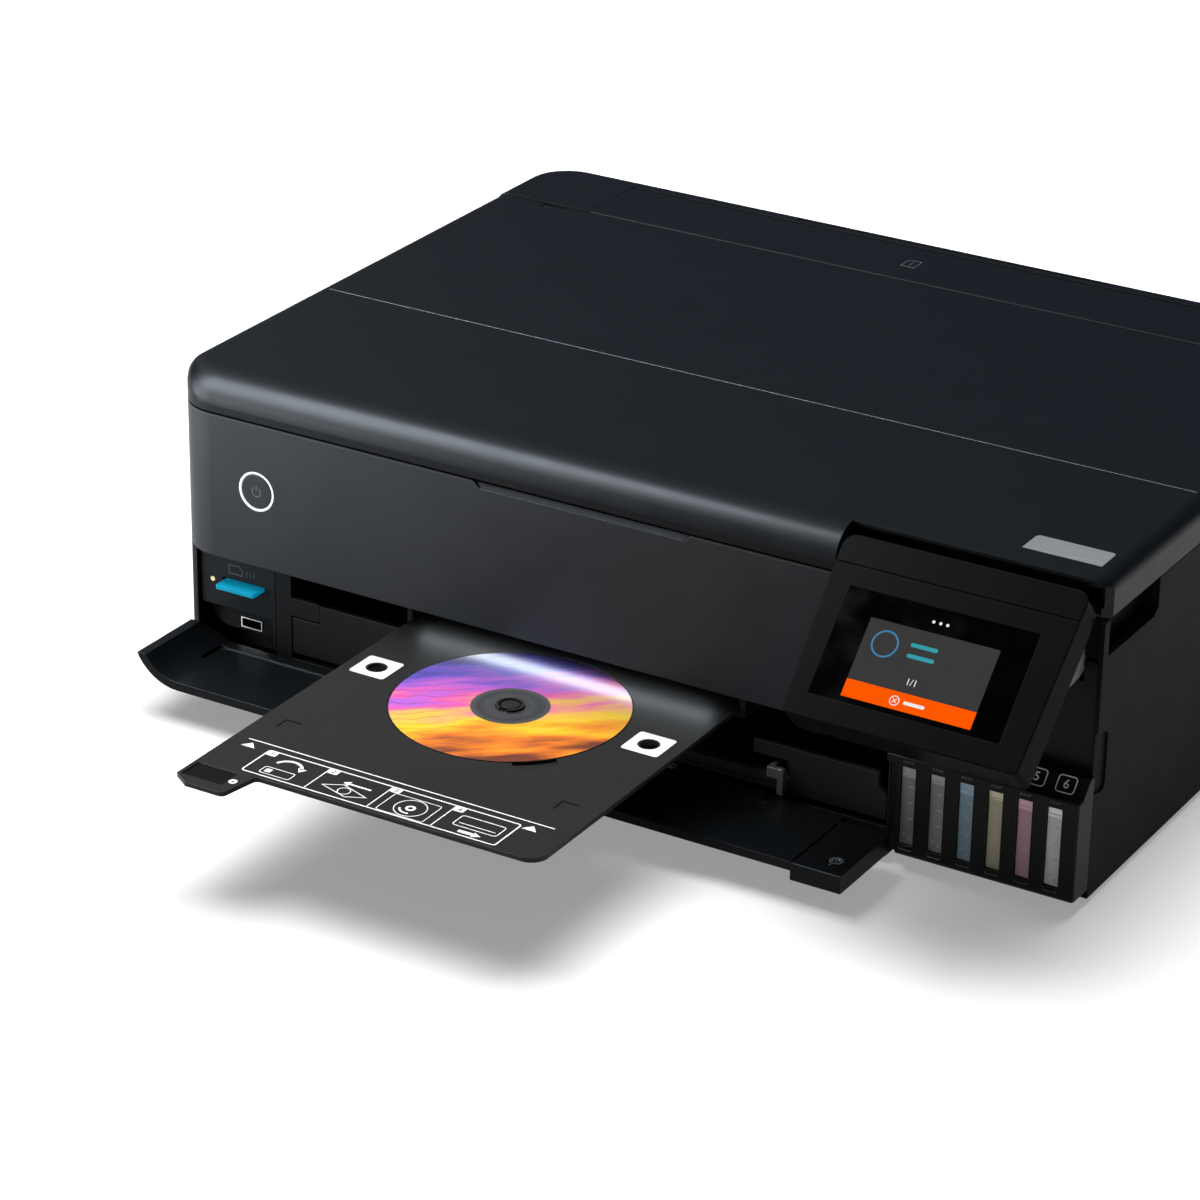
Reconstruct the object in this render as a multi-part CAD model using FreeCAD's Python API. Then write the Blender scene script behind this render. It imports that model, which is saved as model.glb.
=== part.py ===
"""Wide photo printer with six refillable ink tanks, a flatbed scanner and a disc tray.

Frame: millimetres, X to the right, Y to the back, Z up.  The origin is at the middle of the
body's footprint, on the surface that the rubber feet stand on.
"""

import FreeCAD
import Part
import math
import os

from FreeCAD import Vector

# ---------------------------------------------------------------- driving dimensions

# Body
BODY_WIDTH = 523.0
BODY_DEPTH = 379.0
BODY_HEIGHT = 169.0
FOOT_HEIGHT = 3.5
FOOT_HALF = 9.5
CORNER_RADIUS = 26.0
CASE_WALL = 2.5
LID_HEIGHT = 20.0
SEAM_GAP = 0.5
RUNNING_GAP = 0.4
PIN_PLAY = 0.05

RIGHT_X = BODY_WIDTH / 2
LEFT_X = -RIGHT_X
REAR_Y = BODY_DEPTH / 2
FRONT_Y = -REAR_Y
LID_BOTTOM_Z = BODY_HEIGHT - LID_HEIGHT
BODY_TOP_Z = LID_BOTTOM_Z - SEAM_GAP

# Front fascia
FASCIA_BOTTOM_Z = 68.3
FASCIA_RIGHT_X = RIGHT_X - 132.7
FASCIA_WRAP_Y = FRONT_Y + 31.5
FINGER_GRIP_LEFT_X = -75.5
FINGER_GRIP_RIGHT_X = 51.0
FINGER_GRIP_HEIGHT = 4.0
FINGER_GRIP_DEPTH = 12.0

# Power button
BUTTON_X = LEFT_X + 54.9
BUTTON_Z = 110.8
BUTTON_RADIUS = 9.6
LIGHT_RING_WIDTH = 1.2
BUTTON_DEPTH = 6.0

# Lid and its seams
LID_WALL = 2.5
LID_SIDE_ROUND = 8.0
LID_FRONT_ROUND = 16.0
LID_REAR_Y = REAR_Y - 62.0
LID_GROOVE_Y = -53.2
LID_GROOVE_WIDTH = 1.0
LID_GROOVE_DEPTH = 0.6
LID_NOTCH_Y = FRONT_Y + 17.0
LID_NOTCH_CORNER = 8.0
REAR_SEAM = 1.1
LID_RIM_Z = LID_BOTTOM_Z + 8.0
LID_RIM_FRONT = 10.0
LID_RIM_SIDE = 4.5
LID_RIB_Y = 100.0
LID_RIB_INSET = 21.5

# Common hinge line of the lid and the scanner unit
TOP_HINGE_Y = LID_REAR_Y - 3.3
TOP_HINGE_Z = BODY_HEIGHT - 3.5
TOP_HINGE_KNUCKLE = 3.3
TOP_HINGE_PIN = 1.5
TOP_HINGE_X = RIGHT_X - 55.5
TOP_HINGE_LEAF = 7.0

# Scanner unit
SCANNER_BOTTOM_Z = BODY_HEIGHT - 41.0
SCANNER_FRONT_Y = FRONT_Y + 31.5
SCANNER_REAR_Y = LID_REAR_Y - 9.5
SCANNER_HALF_WIDTH = RIGHT_X - 15.5
SCANNER_FLANGE_HALF_WIDTH = RIGHT_X - 5.5
SCANNER_FLANGE_FRONT_Y = FRONT_Y + 23.5
SCANNER_TOP_Z = BODY_HEIGHT - 6.0
SCANNER_WALL = 2.5
GLASS_WIDTH = 310.0
GLASS_DEPTH = 228.0
GLASS_CENTRE_X = -55.0
GLASS_CENTRE_Y = -24.0
SCAN_BAR_WIDTH = 26.0
SCAN_BAR_HEIGHT = 13.0
SCAN_BAR_X = GLASS_CENTRE_X - 138.0
LID_PAD_GAP = 0.4

# Rear deck, its feed cover and the paper support
DECK_FRONT_Y = LID_REAR_Y + REAR_SEAM
DECK_ROUND = 6.0
FEED_COVER_HALF_WIDTH = RIGHT_X - 61.5
FEED_COVER_REAR_Y = REAR_Y - 13.2
FEED_COVER_THICKNESS = 2.6
FEED_COVER_HINGE_Y = FEED_COVER_REAR_Y - 2.9
FEED_COVER_HINGE_Z = BODY_HEIGHT - 3.0
FEED_COVER_EAR = 2.8
FEED_COVER_SWEEP = 1.9
FEED_COVER_PIN = 1.5
SUPPORT_HALF_WIDTH = 95.0
SUPPORT_THICKNESS = 3.0
SUPPORT_FRONT_Y = REAR_Y - 8.5
SUPPORT_LENGTH = 120.0

# Side grips for lifting
GRIP_FRONT_Y = FRONT_Y + 22.3
GRIP_REAR_Y = FRONT_Y + 78.5
GRIP_BOTTOM_Z = BODY_TOP_Z - 19.0
GRIP_DEPTH = 9.0

# Control panel: closed it is flush with the fascia, at rest it is tilted out
PANEL_TILT = 44.6
PANEL_TOP_WIDTH = 128.0
PANEL_BOTTOM_WIDTH = 122.2
PANEL_CENTRE_X = RIGHT_X - 67.2
PANEL_LENGTH = 93.5
PANEL_THICKNESS = 20.0
PANEL_WALL = 2.2
PANEL_HINGE_Y = FRONT_Y + 8.8
PANEL_HINGE_Z = BODY_HEIGHT - 11.9
PANEL_ABOVE_HINGE = 5.9
PANEL_CORNER = 7.0
PANEL_SEAM_DOWN = 15.0
SCREEN_WIDTH = 99.0
SCREEN_HEIGHT = 55.8
SCREEN_DOWN = 25.5
SCREEN_THICKNESS = 1.5
SCREEN_CENTRE_X = PANEL_CENTRE_X - 1.8
PANEL_ARM_PIN = 2.0
PANEL_ARM_WIDTH = 5.0
PANEL_ARM_X = 49.0
PANEL_ARM_HALF = 3.2
PANEL_WEB_INSET = 6.6
PANEL_TAPER = 3.5
PANEL_KNEE_DOWN = 8.1
PANEL_TOP_RELIEF = 2.4
PANEL_BACK_THICKNESS = 2.0
QUADRANT_INNER = 28.0
QUADRANT_OUTER = 40.0
QUADRANT_WIDTH = 3.0
QUADRANT_X = RIGHT_X - 13.0
QUADRANT_SWEEP = 50.0

# Tank housing with six windows
TANK_LEFT_X = RIGHT_X - 100.5
TANK_TOP_Z = 61.4
TANK_BOTTOM_Z = 7.2
TANK_BACK_Y = FRONT_Y + 16.5
TANK_ROUND = 4.0
TANK_COUNT = 6
TANK_PITCH = 15.42
FIRST_WINDOW_X = TANK_LEFT_X + 7.4
WINDOW_WIDTH = 8.0
WINDOW_BOTTOM_Z = 14.4
WINDOW_HEIGHT = 42.0
TANK_WIDTH = 13.2
TANK_WALL = 1.4
TANK_DEPTH = 62.0
TANK_HEIGHT = 48.0
TANK_NOSE = 1.2
FIRST_TANK_TRIM = 2.9
LAST_TANK_TRIM = 0.4
FILLER_HALF = 5.0
FILLER_HEIGHT = 9.0
FILLER_CAP_HEIGHT = 7.0
TANK_COVER_FRONT_Y = FRONT_Y + 21.2
LABEL_STRIP_REACH = 7.0
LABEL_STRIP_RISE = 7.4
DOOR_REBATE_WIDTH = 5.8
DOOR_REBATE_DEPTH = 5.4

# Front door, shown folded down
DOOR_LEFT_X = LEFT_X + 14.0
DOOR_RIGHT_X = TANK_LEFT_X - 21.5
DOOR_FREE_Y = FRONT_Y - 55.1
DOOR_BOTTOM_Z = 16.3
DOOR_THICKNESS = 4.7
DOOR_CURL_RADIUS = 28.0
DOOR_CURL_TOP_Z = 32.0
DOOR_HINGE_Y = FRONT_Y - 1.7
DOOR_HINGE_Z = 14.7
DOOR_BEAD_RADIUS = 3.2
DOOR_PIN_RADIUS = 1.5
DOOR_STEP_Y = FRONT_Y - 25.0
DOOR_STEP_DEPTH = 0.8
DOOR_BLOCK_RIGHT_X = TANK_LEFT_X + 5.4
DOOR_BLOCK_BOTTOM_Z = 11.0
DOOR_BLOCK_TOP_Z = 20.6
DOOR_LUG_WIDTH = 8.0
DOOR_LUGS_X = (-150.0, 100.0)

# Opening behind the door
INNER_FRONT_Y = FRONT_Y + 5.5
INNER_PLATE = 3.0
CARD_PANEL_LEFT_X = LEFT_X + 14.5
CARD_PANEL_RIGHT_X = LEFT_X + 61.5
CARD_PANEL_SHELF_Z = 37.2
CARD_PANEL_BOTTOM_Z = 22.0
CARD_PANEL_RECESS_Y = FRONT_Y + 14.0
OPENING_LEFT_X = LEFT_X + 71.5
OPENING_RIGHT_X = TANK_LEFT_X - 2.0
OPENING_BOTTOM_Z = 18.0
TAB_RIGHT_X = OPENING_LEFT_X + 17.7
TAB_BOTTOM_Z = 42.8
SLOT_SILL_Z = 52.7

# Memory card and sockets
CARD_WIDTH = 24.0
CARD_LENGTH = 32.0
CARD_THICKNESS = 2.1
CARD_LEFT_X = LEFT_X + 29.5
CARD_BOTTOM_Z = 51.0
CARD_FRONT_Y = FRONT_Y - 3.1
CARD_PLAY = 0.4
LED_X = LEFT_X + 21.9
LED_Z = 51.6
LED_RADIUS = 1.3
USB_WIDTH = 13.2
USB_HEIGHT = 5.8
USB_LEFT_X = LEFT_X + 33.6
USB_BOTTOM_Z = 23.6
USB_DEPTH = 14.0
USB_SHELL = 0.5

# Paper cassettes and output tray
CASSETTE_BOTTOM_Z = 21.8
CASSETTE_FLOOR = 2.0
CASSETTE_SIDE_WALL = 2.2
CASSETTE_HALF_WIDTH = 118.0
CASSETTE_CENTRE_X = 15.0
CASSETTE_REAR_Y = 110.0
CASSETTE_CUT_LEFT_X = -62.0
CASSETTE_CUT_RIGHT_X = 105.0
CASSETTE_BAND_X = 85.0
CASSETTE_BAND_BOTTOM_Z = 39.0
CASSETTE_RIGHT_TOP_Z = 46.3
CASSETTE_NOTCH_X = 154.0
PHOTO_BOTTOM_Z = 24.2
PHOTO_LEFT_X = -59.5
PHOTO_RIGHT_X = 104.4
PHOTO_REAR_Y = 10.0
PHOTO_WALL_TOP_Z = 37.0
PHOTO_LIP_TOP_Z = 30.0
GUIDE_LEFT_X = 95.6
GUIDE_THICKNESS = 2.8
GUIDE_TAB_WIDTH = 9.0
GUIDE_TOP_Z = 35.8
GUIDE_TAB_Y = -189.2
OUTPUT_TRAY_THICKNESS = 1.8
OUTPUT_TRAY_HALF_WIDTH = 84.0
OUTPUT_TRAY_REAR_Y = -68.0
OUTPUT_TRAY_BOTTOM_Z = 53.2

# Disc tray and disc
TRAY_CENTRE_X = -20.7
TRAY_WIDTH = 191.0
TRAY_FRONT_Y = -368.0
TRAY_REAR_Y = -92.0
TRAY_TOP_Z = 58.5
TRAY_THICKNESS = 2.3
TRAY_CORNER = 4.0
TRAY_TAB_WIDTH = 34.5
TRAY_TAB_LENGTH = 22.0
DISC_CENTRE_Y = -239.6
DISC_RADIUS = 60.0
DISC_THICKNESS = 1.2
DISC_HOLE_RADIUS = 7.5
DISC_POCKET_DEPTH = 1.0
DISC_PLAY = 0.5
BOSS_RADIUS = 7.2
BOSS_HEIGHT = 2.4
BOSS_CORE_RADIUS = 4.6
THUMB_NOTCH_RADIUS = 11.0
THUMB_NOTCH_X = 42.0
THUMB_NOTCH_Y = -45.0
SIGHT_HOLE_RADIUS = 4.9
SIGHT_HOLE_X = 78.6
GUIDE_RAIL_LIP = 6.0
GUIDE_RAIL_REAR_Y = -68.0
TRAY_PLAY = 0.4

# Print mechanism
SIDE_PLATE_X = RIGHT_X - 23.5
SIDE_PLATE_THICKNESS = 1.5
SIDE_PLATE_FRONT_Y = -64.0
SIDE_PLATE_REAR_Y = 100.0
SIDE_PLATE_BOTTOM_Z = 6.8
SIDE_PLATE_TOP_Z = 112.0
RAIL_Y = 34.0
RAIL_BOTTOM_Z = 76.0
RAIL_TOP_Z = 108.0
RAIL_FLANGE = 12.0
SHEET = 1.5
FEED_ROLLER_Y = 30.0
FEED_ROLLER_RADIUS = 8.0
FEED_GAP = 0.4
EXIT_ROLLER_Y = -54.0
EXIT_ROLLER_RADIUS = 5.0
PINCH_ROLLER_RADIUS = 4.0
PINCH_RAISED = 3.4
SHAFT_RADIUS = 3.0
ROLLER_LENGTH = 46.0
ROLLER_COUNT = 3
ROLLER_PITCH = 110.0
FEED_ROLLER_LENGTH = 372.0
CARRIAGE_X = 35.0
CARRIAGE_WIDTH = 80.0
CARRIAGE_FRONT_Y = -44.0
CARRIAGE_BACK_Y = 10.0
CARRIAGE_BOTTOM_Z = 66.0
CARRIAGE_TOP_Z = 110.0
CARRIAGE_NECK_HALF = 18.0
CARRIAGE_NECK_BOTTOM_Z = 74.0
CARRIAGE_WALL = 2.5
HEAD_BOTTOM_Z = 61.6
HEAD_WIDTH = 50.0
HEAD_DEPTH = 40.0
BELT_Z = 98.0
BELT_WIDTH = 6.0
BELT_THICKNESS = 1.2
BELT_Y = 24.0
PULLEY_RADIUS = 7.0
MOTOR_PULLEY_X = LEFT_X + 43.5
IDLER_PULLEY_X = RIGHT_X - 33.5
PULLEY_SHAFT = 2.0
PULLEY_FLANGE = 1.5
MOTOR_RADIUS = 11.5
MOTOR_HEIGHT = 20.0
PLATEN_FRONT_Y = -44.0
PLATEN_REAR_Y = 18.0
PLATEN_TOP_Z = 55.6
PLATEN_HALF_WIDTH = 165.0
PLATEN_RIB_COUNT = 16

# Boxes and boards inside
CAP_STATION_LEFT_X = PLATEN_HALF_WIDTH + 3.0
CAP_STATION_WIDTH = 56.0
CAP_STATION_FRONT_Y = -34.0
CAP_STATION_REAR_Y = 16.0
SUPPLY_LEFT_X = LEFT_X + 29.5
SUPPLY_WIDTH = 78.0
SUPPLY_DEPTH = 66.0
SUPPLY_HEIGHT = 52.0
INLET_X = SUPPLY_LEFT_X + 27.0
INLET_Z = 34.0
BOARD_THICKNESS = 1.6
PORT_Z = 84.0
USB_B_X = LEFT_X + 111.5
LAN_X = USB_B_X + 30.0
REAR_COVER_HALF_WIDTH = 100.0
REAR_COVER_BOTTOM_Z = 24.0
REAR_COVER_TOP_Z = 118.0
HOPPER_HALF_WIDTH = 172.0
REAR_GUIDE_X = -150.0
HOPPER_TOP_Y = REAR_Y - 16
HOPPER_FOOT_Y = 94.0
HOPPER_FOOT_Z = 66.0
REAR_GUIDE_LOW = 46.0
REAR_GUIDE_HIGH = 71.0
MAINTENANCE_LEFT_X = RIGHT_X - 111.5
MAINTENANCE_WIDTH = 80.0
RIBBON_LEFT_X = RIGHT_X - 65.5
RIBBON_WIDTH = 18.0

# ---------------------------------------------------------------- shape helpers


def block(x0, x1, y0, y1, z0, z1):
    """A box between three pairs of planes."""
    return Part.makeBox(x1 - x0, y1 - y0, z1 - z0, Vector(x0, y0, z0))


def rod(axis, radius, start, length):
    """A cylinder along x, y or z."""
    direction = {"x": Vector(1, 0, 0), "y": Vector(0, 1, 0), "z": Vector(0, 0, 1)}[axis]
    return Part.makeCylinder(radius, length, Vector(*start), direction)


def fuse(first, *others):
    """One solid from touching solids."""
    return first.multiFuse(list(others)).removeSplitter()


def cut(solid, *tools):
    """A solid with tools taken away."""
    for tool in tools:
        solid = solid.cut(tool)
    return solid.removeSplitter()


def group(solids):
    """Separate solids that share one node."""
    return Part.makeCompound(list(solids))


def turned(shape, degrees, y, z):
    """A copy turned about a line along X; a positive turn takes +Y towards +Z."""
    copy = shape.copy()
    copy.rotate(Vector(0, y, z), Vector(1, 0, 0), degrees)
    return copy


def outline(corners, place):
    """A closed wire through (u, v) or (u, v, radius) corners."""
    points = [(Vector(c[0], c[1], 0), c[2] if len(c) > 2 else 0.0) for c in corners]
    ends = []
    for index, (corner, radius) in enumerate(points):
        before = (points[index - 1][0] - corner).normalize()
        after = (points[(index + 1) % len(points)][0] - corner).normalize()
        half = before.getAngle(after) / 2
        if radius == 0:
            ends.append((corner, None, corner))
            continue
        reach = radius / math.tan(half)
        middle = corner + (before + after).normalize() * (radius / math.sin(half) - radius)
        ends.append((corner + before * reach, middle, corner + after * reach))
    edges = []
    for index, (start, middle, end) in enumerate(ends):
        following = ends[(index + 1) % len(ends)][0]
        if middle is not None:
            edges.append(Part.Arc(*[place(p.x, p.y) for p in (start, middle, end)]).toShape())
        if (following - end).Length > 1e-6:
            edges.append(Part.LineSegment(place(end.x, end.y), place(following.x, following.y)).toShape())
    return Part.Wire(edges)


def prism_x(corners, x0, x1):
    """A side profile in (y, z), pushed along X."""
    wire = outline(corners, lambda y, z: Vector(x0, y, z))
    return Part.Face(wire).extrude(Vector(x1 - x0, 0, 0))


def prism_y(corners, y0, y1):
    """A front profile in (x, z), pushed along Y."""
    wire = outline(corners, lambda x, z: Vector(x, y0, z))
    return Part.Face(wire).extrude(Vector(0, y1 - y0, 0))


def prism_z(corners, z0, z1):
    """A plan outline in (x, y), pushed along Z."""
    wire = outline(corners, lambda x, y: Vector(x, y, z0))
    return Part.Face(wire).extrude(Vector(0, 0, z1 - z0))


def rounded(solid, jobs):
    """Fillets with their own radius on each chosen edge: jobs holds (test, first, last)."""
    edges = []
    for index, edge in enumerate(solid.Edges, start=1):
        for test, first, last in jobs:
            if test(edge):
                edges.append((index, first, last))
                break
    document = FreeCAD.newDocument("fillet")
    base = document.addObject("Part::Feature", "Base")
    base.Shape = solid
    fillet = document.addObject("Part::Fillet", "Fillet")
    fillet.Base = base
    fillet.Edges = edges
    document.recompute()
    result = fillet.Shape.copy()
    FreeCAD.closeDocument(document.Name)
    return result


def is_along(edge, axis):
    """True for a straight edge along x, y or z."""
    if not isinstance(edge.Curve, Part.Line):
        return False
    direction = edge.Curve.Direction
    return abs(getattr(direction, axis)) > 0.999


def middle_of(edge):
    """The point halfway along an edge."""
    return edge.valueAt((edge.FirstParameter + edge.LastParameter) / 2)


# ---------------------------------------------------------------- outer case


def body_plan(inset, z0, z1):
    """The body's plan outline with rounded left and rear corners, set in by an amount."""
    round_corner = CORNER_RADIUS - inset
    return prism_z(
        [
            (LEFT_X + inset, FRONT_Y + inset, round_corner),
            (RIGHT_X - inset, FRONT_Y + inset),
            (RIGHT_X - inset, REAR_Y - inset, round_corner),
            (LEFT_X + inset, REAR_Y - inset, round_corner),
        ],
        z0,
        z1,
    )


def case_ring(z0, z1):
    """The upright outer wall of the case, all the way round."""
    return body_plan(0, z0, z1).cut(body_plan(CASE_WALL, z0, z1))


BASE_FLOOR_Z = FOOT_HEIGHT + 3.0
BASE_FRONT_Y = DOOR_HINGE_Y + DOOR_BEAD_RADIUS + RUNNING_GAP
SIDE_SPLIT_Y = REAR_Y - CORNER_RADIUS
LEFT_STRIP_X = DOOR_LEFT_X - RUNNING_GAP


def base_pan():
    """Moulded floor with a low rim, cross ribs and the lugs that carry the front door."""
    inset = CASE_WALL + SEAM_GAP / 2
    floor = body_plan(inset, FOOT_HEIGHT, BASE_FLOOR_Z)
    floor = floor.common(block(LEFT_X, RIGHT_X, BASE_FRONT_Y, REAR_Y, 0, BODY_HEIGHT))
    floor = floor.cut(
        block(TANK_LEFT_X - SEAM_GAP, RIGHT_X, FRONT_Y, TANK_BACK_Y + SEAM_GAP, 0, BODY_HEIGHT)
    )
    rib_top = BASE_FLOOR_Z + 1.2
    ribs = [block(x - 1, x + 1, -150, 150, BASE_FLOOR_Z, rib_top) for x in (-140, -60, 60)]
    cross = [
        block(LEFT_X + 36.5, RIGHT_X - short, y - 1, y + 1, BASE_FLOOR_Z, rib_top)
        for y, short in ((-100, 116.5), (0, 116.5), (100, 81.5))
    ]
    runner_top = CASSETTE_BOTTOM_Z - RUNNING_GAP
    runners = [
        block(x - 1.2, x + 1.2, CASSETTE_FRONT_Y1 + 4, CASSETTE_REAR_Y, BASE_FLOOR_Z, runner_top)
        for x in (CASSETTE_CENTRE_X - 100, CASSETTE_CENTRE_X + 100)
    ]
    lugs = []
    for x in DOOR_LUGS_X:
        arm = block(
            x - DOOR_LUG_WIDTH / 2,
            x + DOOR_LUG_WIDTH / 2,
            DOOR_HINGE_Y,
            INNER_FRONT_Y - SEAM_GAP,
            FOOT_HEIGHT,
            DOOR_HINGE_Z + DOOR_BEAD_RADIUS - 0.2,
        )
        eye = rod(
            "x", DOOR_BEAD_RADIUS - 0.2,
            (x - DOOR_LUG_WIDTH / 2, DOOR_HINGE_Y, DOOR_HINGE_Z),
            DOOR_LUG_WIDTH
        )
        arm = arm.cut(
            block(
                x - 10, x + 10, DOOR_HINGE_Y - 5, DOOR_HINGE_Y + 3.4,
                0, DOOR_HINGE_Z - DOOR_BEAD_RADIUS + 0.2
            )
        )
        lugs.append(fuse(arm, eye))
    bores = [
        rod(
            "x", DOOR_PIN_RADIUS + PIN_PLAY,
            (x - DOOR_LUG_WIDTH, DOOR_HINGE_Y, DOOR_HINGE_Z),
            2 * DOOR_LUG_WIDTH
        )
        for x in DOOR_LUGS_X
    ]
    return cut(fuse(floor, *ribs, *cross, *runners, *lugs), *bores)


def feet():
    """Rubber feet under the floor: one near each corner and one in the middle."""
    places = [(-225, -150), (225, -150), (0, 0), (-225, 155), (225, 155)]
    pads = []
    for x, y in places:
        half, bevel = FOOT_HALF, FOOT_HALF * 0.4
        pads.append(
            prism_z(
                [
                    (x - half, y - half + bevel),
                    (x - half + bevel, y - half),
                    (x + half - bevel, y - half),
                    (x + half, y - half + bevel),
                    (x + half, y + half - bevel),
                    (x + half - bevel, y + half),
                    (x - half + bevel, y + half),
                    (x - half, y + half - bevel),
                ],
                0,
                FOOT_HEIGHT,
            )
        )
    return group(pads)


def side_grip(x_out, direction):
    """The hand grip under the lid's edge: a slanted pocket moulded into a side wall."""
    x_in = x_out - direction * GRIP_DEPTH
    low, high = min(x_out, x_in), max(x_out, x_in)
    wall = 1.8
    outer = prism_x(
        [
            (GRIP_FRONT_Y, BODY_TOP_Z),
            (GRIP_REAR_Y, BODY_TOP_Z),
            (GRIP_REAR_Y, GRIP_BOTTOM_Z + 3.5),
            (GRIP_REAR_Y - 4.5, GRIP_BOTTOM_Z),
            (GRIP_FRONT_Y, GRIP_BOTTOM_Z),
        ],
        low,
        high,
    )
    liner = block(
        low - wall, high + wall, GRIP_FRONT_Y - wall, GRIP_REAR_Y + wall,
        GRIP_BOTTOM_Z - wall, BODY_TOP_Z
    )
    if direction > 0:
        liner = liner.common(block(low - wall, x_out - CASE_WALL, FRONT_Y, REAR_Y, 0, BODY_TOP_Z))
    else:
        liner = liner.common(block(x_out + CASE_WALL, high + wall, FRONT_Y, REAR_Y, 0, BODY_TOP_Z))
    return outer, liner


def left_panel():
    """Left side wall, wrapped round the front corner below the fascia, with a grip."""
    ring = case_ring(FOOT_HEIGHT, BODY_TOP_Z)
    wall = ring.common(block(LEFT_X, -200, FRONT_Y, SIDE_SPLIT_Y, 0, BODY_HEIGHT))
    wall = wall.cut(
        block(LEFT_X, 0, FRONT_Y, FASCIA_WRAP_Y + SEAM_GAP, FASCIA_BOTTOM_Z - SEAM_GAP, BODY_HEIGHT)
    )
    wall = wall.cut(block(LEFT_STRIP_X, 0, FRONT_Y - 1, -150, 0, BODY_HEIGHT))
    pocket, liner = side_grip(LEFT_X, -1)
    pocket.translate(Vector(0, 18, 0))
    liner.translate(Vector(0, 18, 0))
    ledge = block(
        LEFT_X + CASE_WALL, LEFT_X + CASE_WALL + 3.0, -90, SIDE_SPLIT_Y, BODY_TOP_Z - 2.5, BODY_TOP_Z
    )
    return cut(fuse(wall, liner, ledge), pocket)


def right_panel():
    """Right side wall behind the tank housing, with its grip and a finger notch at the front."""
    ring = case_ring(FOOT_HEIGHT, BODY_TOP_Z)
    wall = ring.common(block(200, RIGHT_X, TANK_BACK_Y + SEAM_GAP, SIDE_SPLIT_Y, 0, BODY_HEIGHT))
    pocket, liner = side_grip(RIGHT_X, 1)
    finger = prism_x(
        [
            (TANK_BACK_Y - 2, 60.0),
            (TANK_BACK_Y + 12.5, 57.0, 4.0),
            (TANK_BACK_Y + 12.5, 88.5, 4.0),
            (TANK_BACK_Y - 2, 91.5),
        ],
        RIGHT_X - CASE_WALL + 1.3,
        RIGHT_X + 1,
    )
    ledge = block(
        RIGHT_X - CASE_WALL - 3.0, RIGHT_X - CASE_WALL, -100, SIDE_SPLIT_Y, BODY_TOP_Z - 2.5, BODY_TOP_Z
    )
    return cut(fuse(wall, liner, ledge), pocket, finger)


REAR_PANEL_Y = SIDE_SPLIT_Y + SEAM_GAP


def port_holes():
    """Cut-outs in the rear wall for the power inlet and the two data sockets."""
    y0, y1 = REAR_Y - 2 * CASE_WALL, REAR_Y + 1
    return [
        block(INLET_X - 11, INLET_X + 11, y0, y1, INLET_Z - 8, INLET_Z + 8),
        block(USB_B_X - 6.6, USB_B_X + 6.6, y0, y1, PORT_Z - 6.1, PORT_Z + 6.1),
        block(LAN_X - 8.4, LAN_X + 8.4, y0, y1, PORT_Z - 7.1, PORT_Z + 7.1),
    ]


def rear_panel():
    """Rear wall with both rear corners, a doorway for the jam cover and cooling slots."""
    ring = case_ring(FOOT_HEIGHT, BODY_TOP_Z)
    wall = ring.common(block(LEFT_X, RIGHT_X, REAR_PANEL_Y, REAR_Y, 0, BODY_HEIGHT))
    doorway = block(
        -REAR_COVER_HALF_WIDTH,
        REAR_COVER_HALF_WIDTH,
        REAR_Y - 2 * CASE_WALL,
        REAR_Y + 1,
        REAR_COVER_BOTTOM_Z,
        REAR_COVER_TOP_Z,
    )
    slots = [
        block(x - 1.2, x + 1.2, REAR_Y - 2 * CASE_WALL, REAR_Y + 1, 96, 122) for x in range(160, 221, 8)
    ]
    return cut(wall, doorway, *port_holes(), *slots)


def rear_cover():
    """Pull-off cover over the paper path at the back, with two finger dimples."""
    gap = RUNNING_GAP
    plate = prism_y(
        [
            (-REAR_COVER_HALF_WIDTH + gap, REAR_COVER_BOTTOM_Z + gap, 3.0),
            (REAR_COVER_HALF_WIDTH - gap, REAR_COVER_BOTTOM_Z + gap, 3.0),
            (REAR_COVER_HALF_WIDTH - gap, REAR_COVER_TOP_Z - gap, 3.0),
            (-REAR_COVER_HALF_WIDTH + gap, REAR_COVER_TOP_Z - gap, 3.0),
        ],
        REAR_Y - CASE_WALL,
        REAR_Y,
    )
    middle_z = (REAR_COVER_BOTTOM_Z + REAR_COVER_TOP_Z) / 2
    dimples = [block(x - 4, x + 4, REAR_Y - 1.2, REAR_Y + 1, middle_z - 12, middle_z + 12) for x in (-84, 84)]
    inner_y = REAR_Y - CASE_WALL
    ribs = [
        block(x - 1.2, x + 1.2, inner_y - 2, inner_y, REAR_COVER_BOTTOM_Z + 10, REAR_COVER_TOP_Z - 10)
        for x in (-70, -35, 0, 35, 70)
    ]
    return cut(fuse(plate, *ribs), *dimples)


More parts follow.
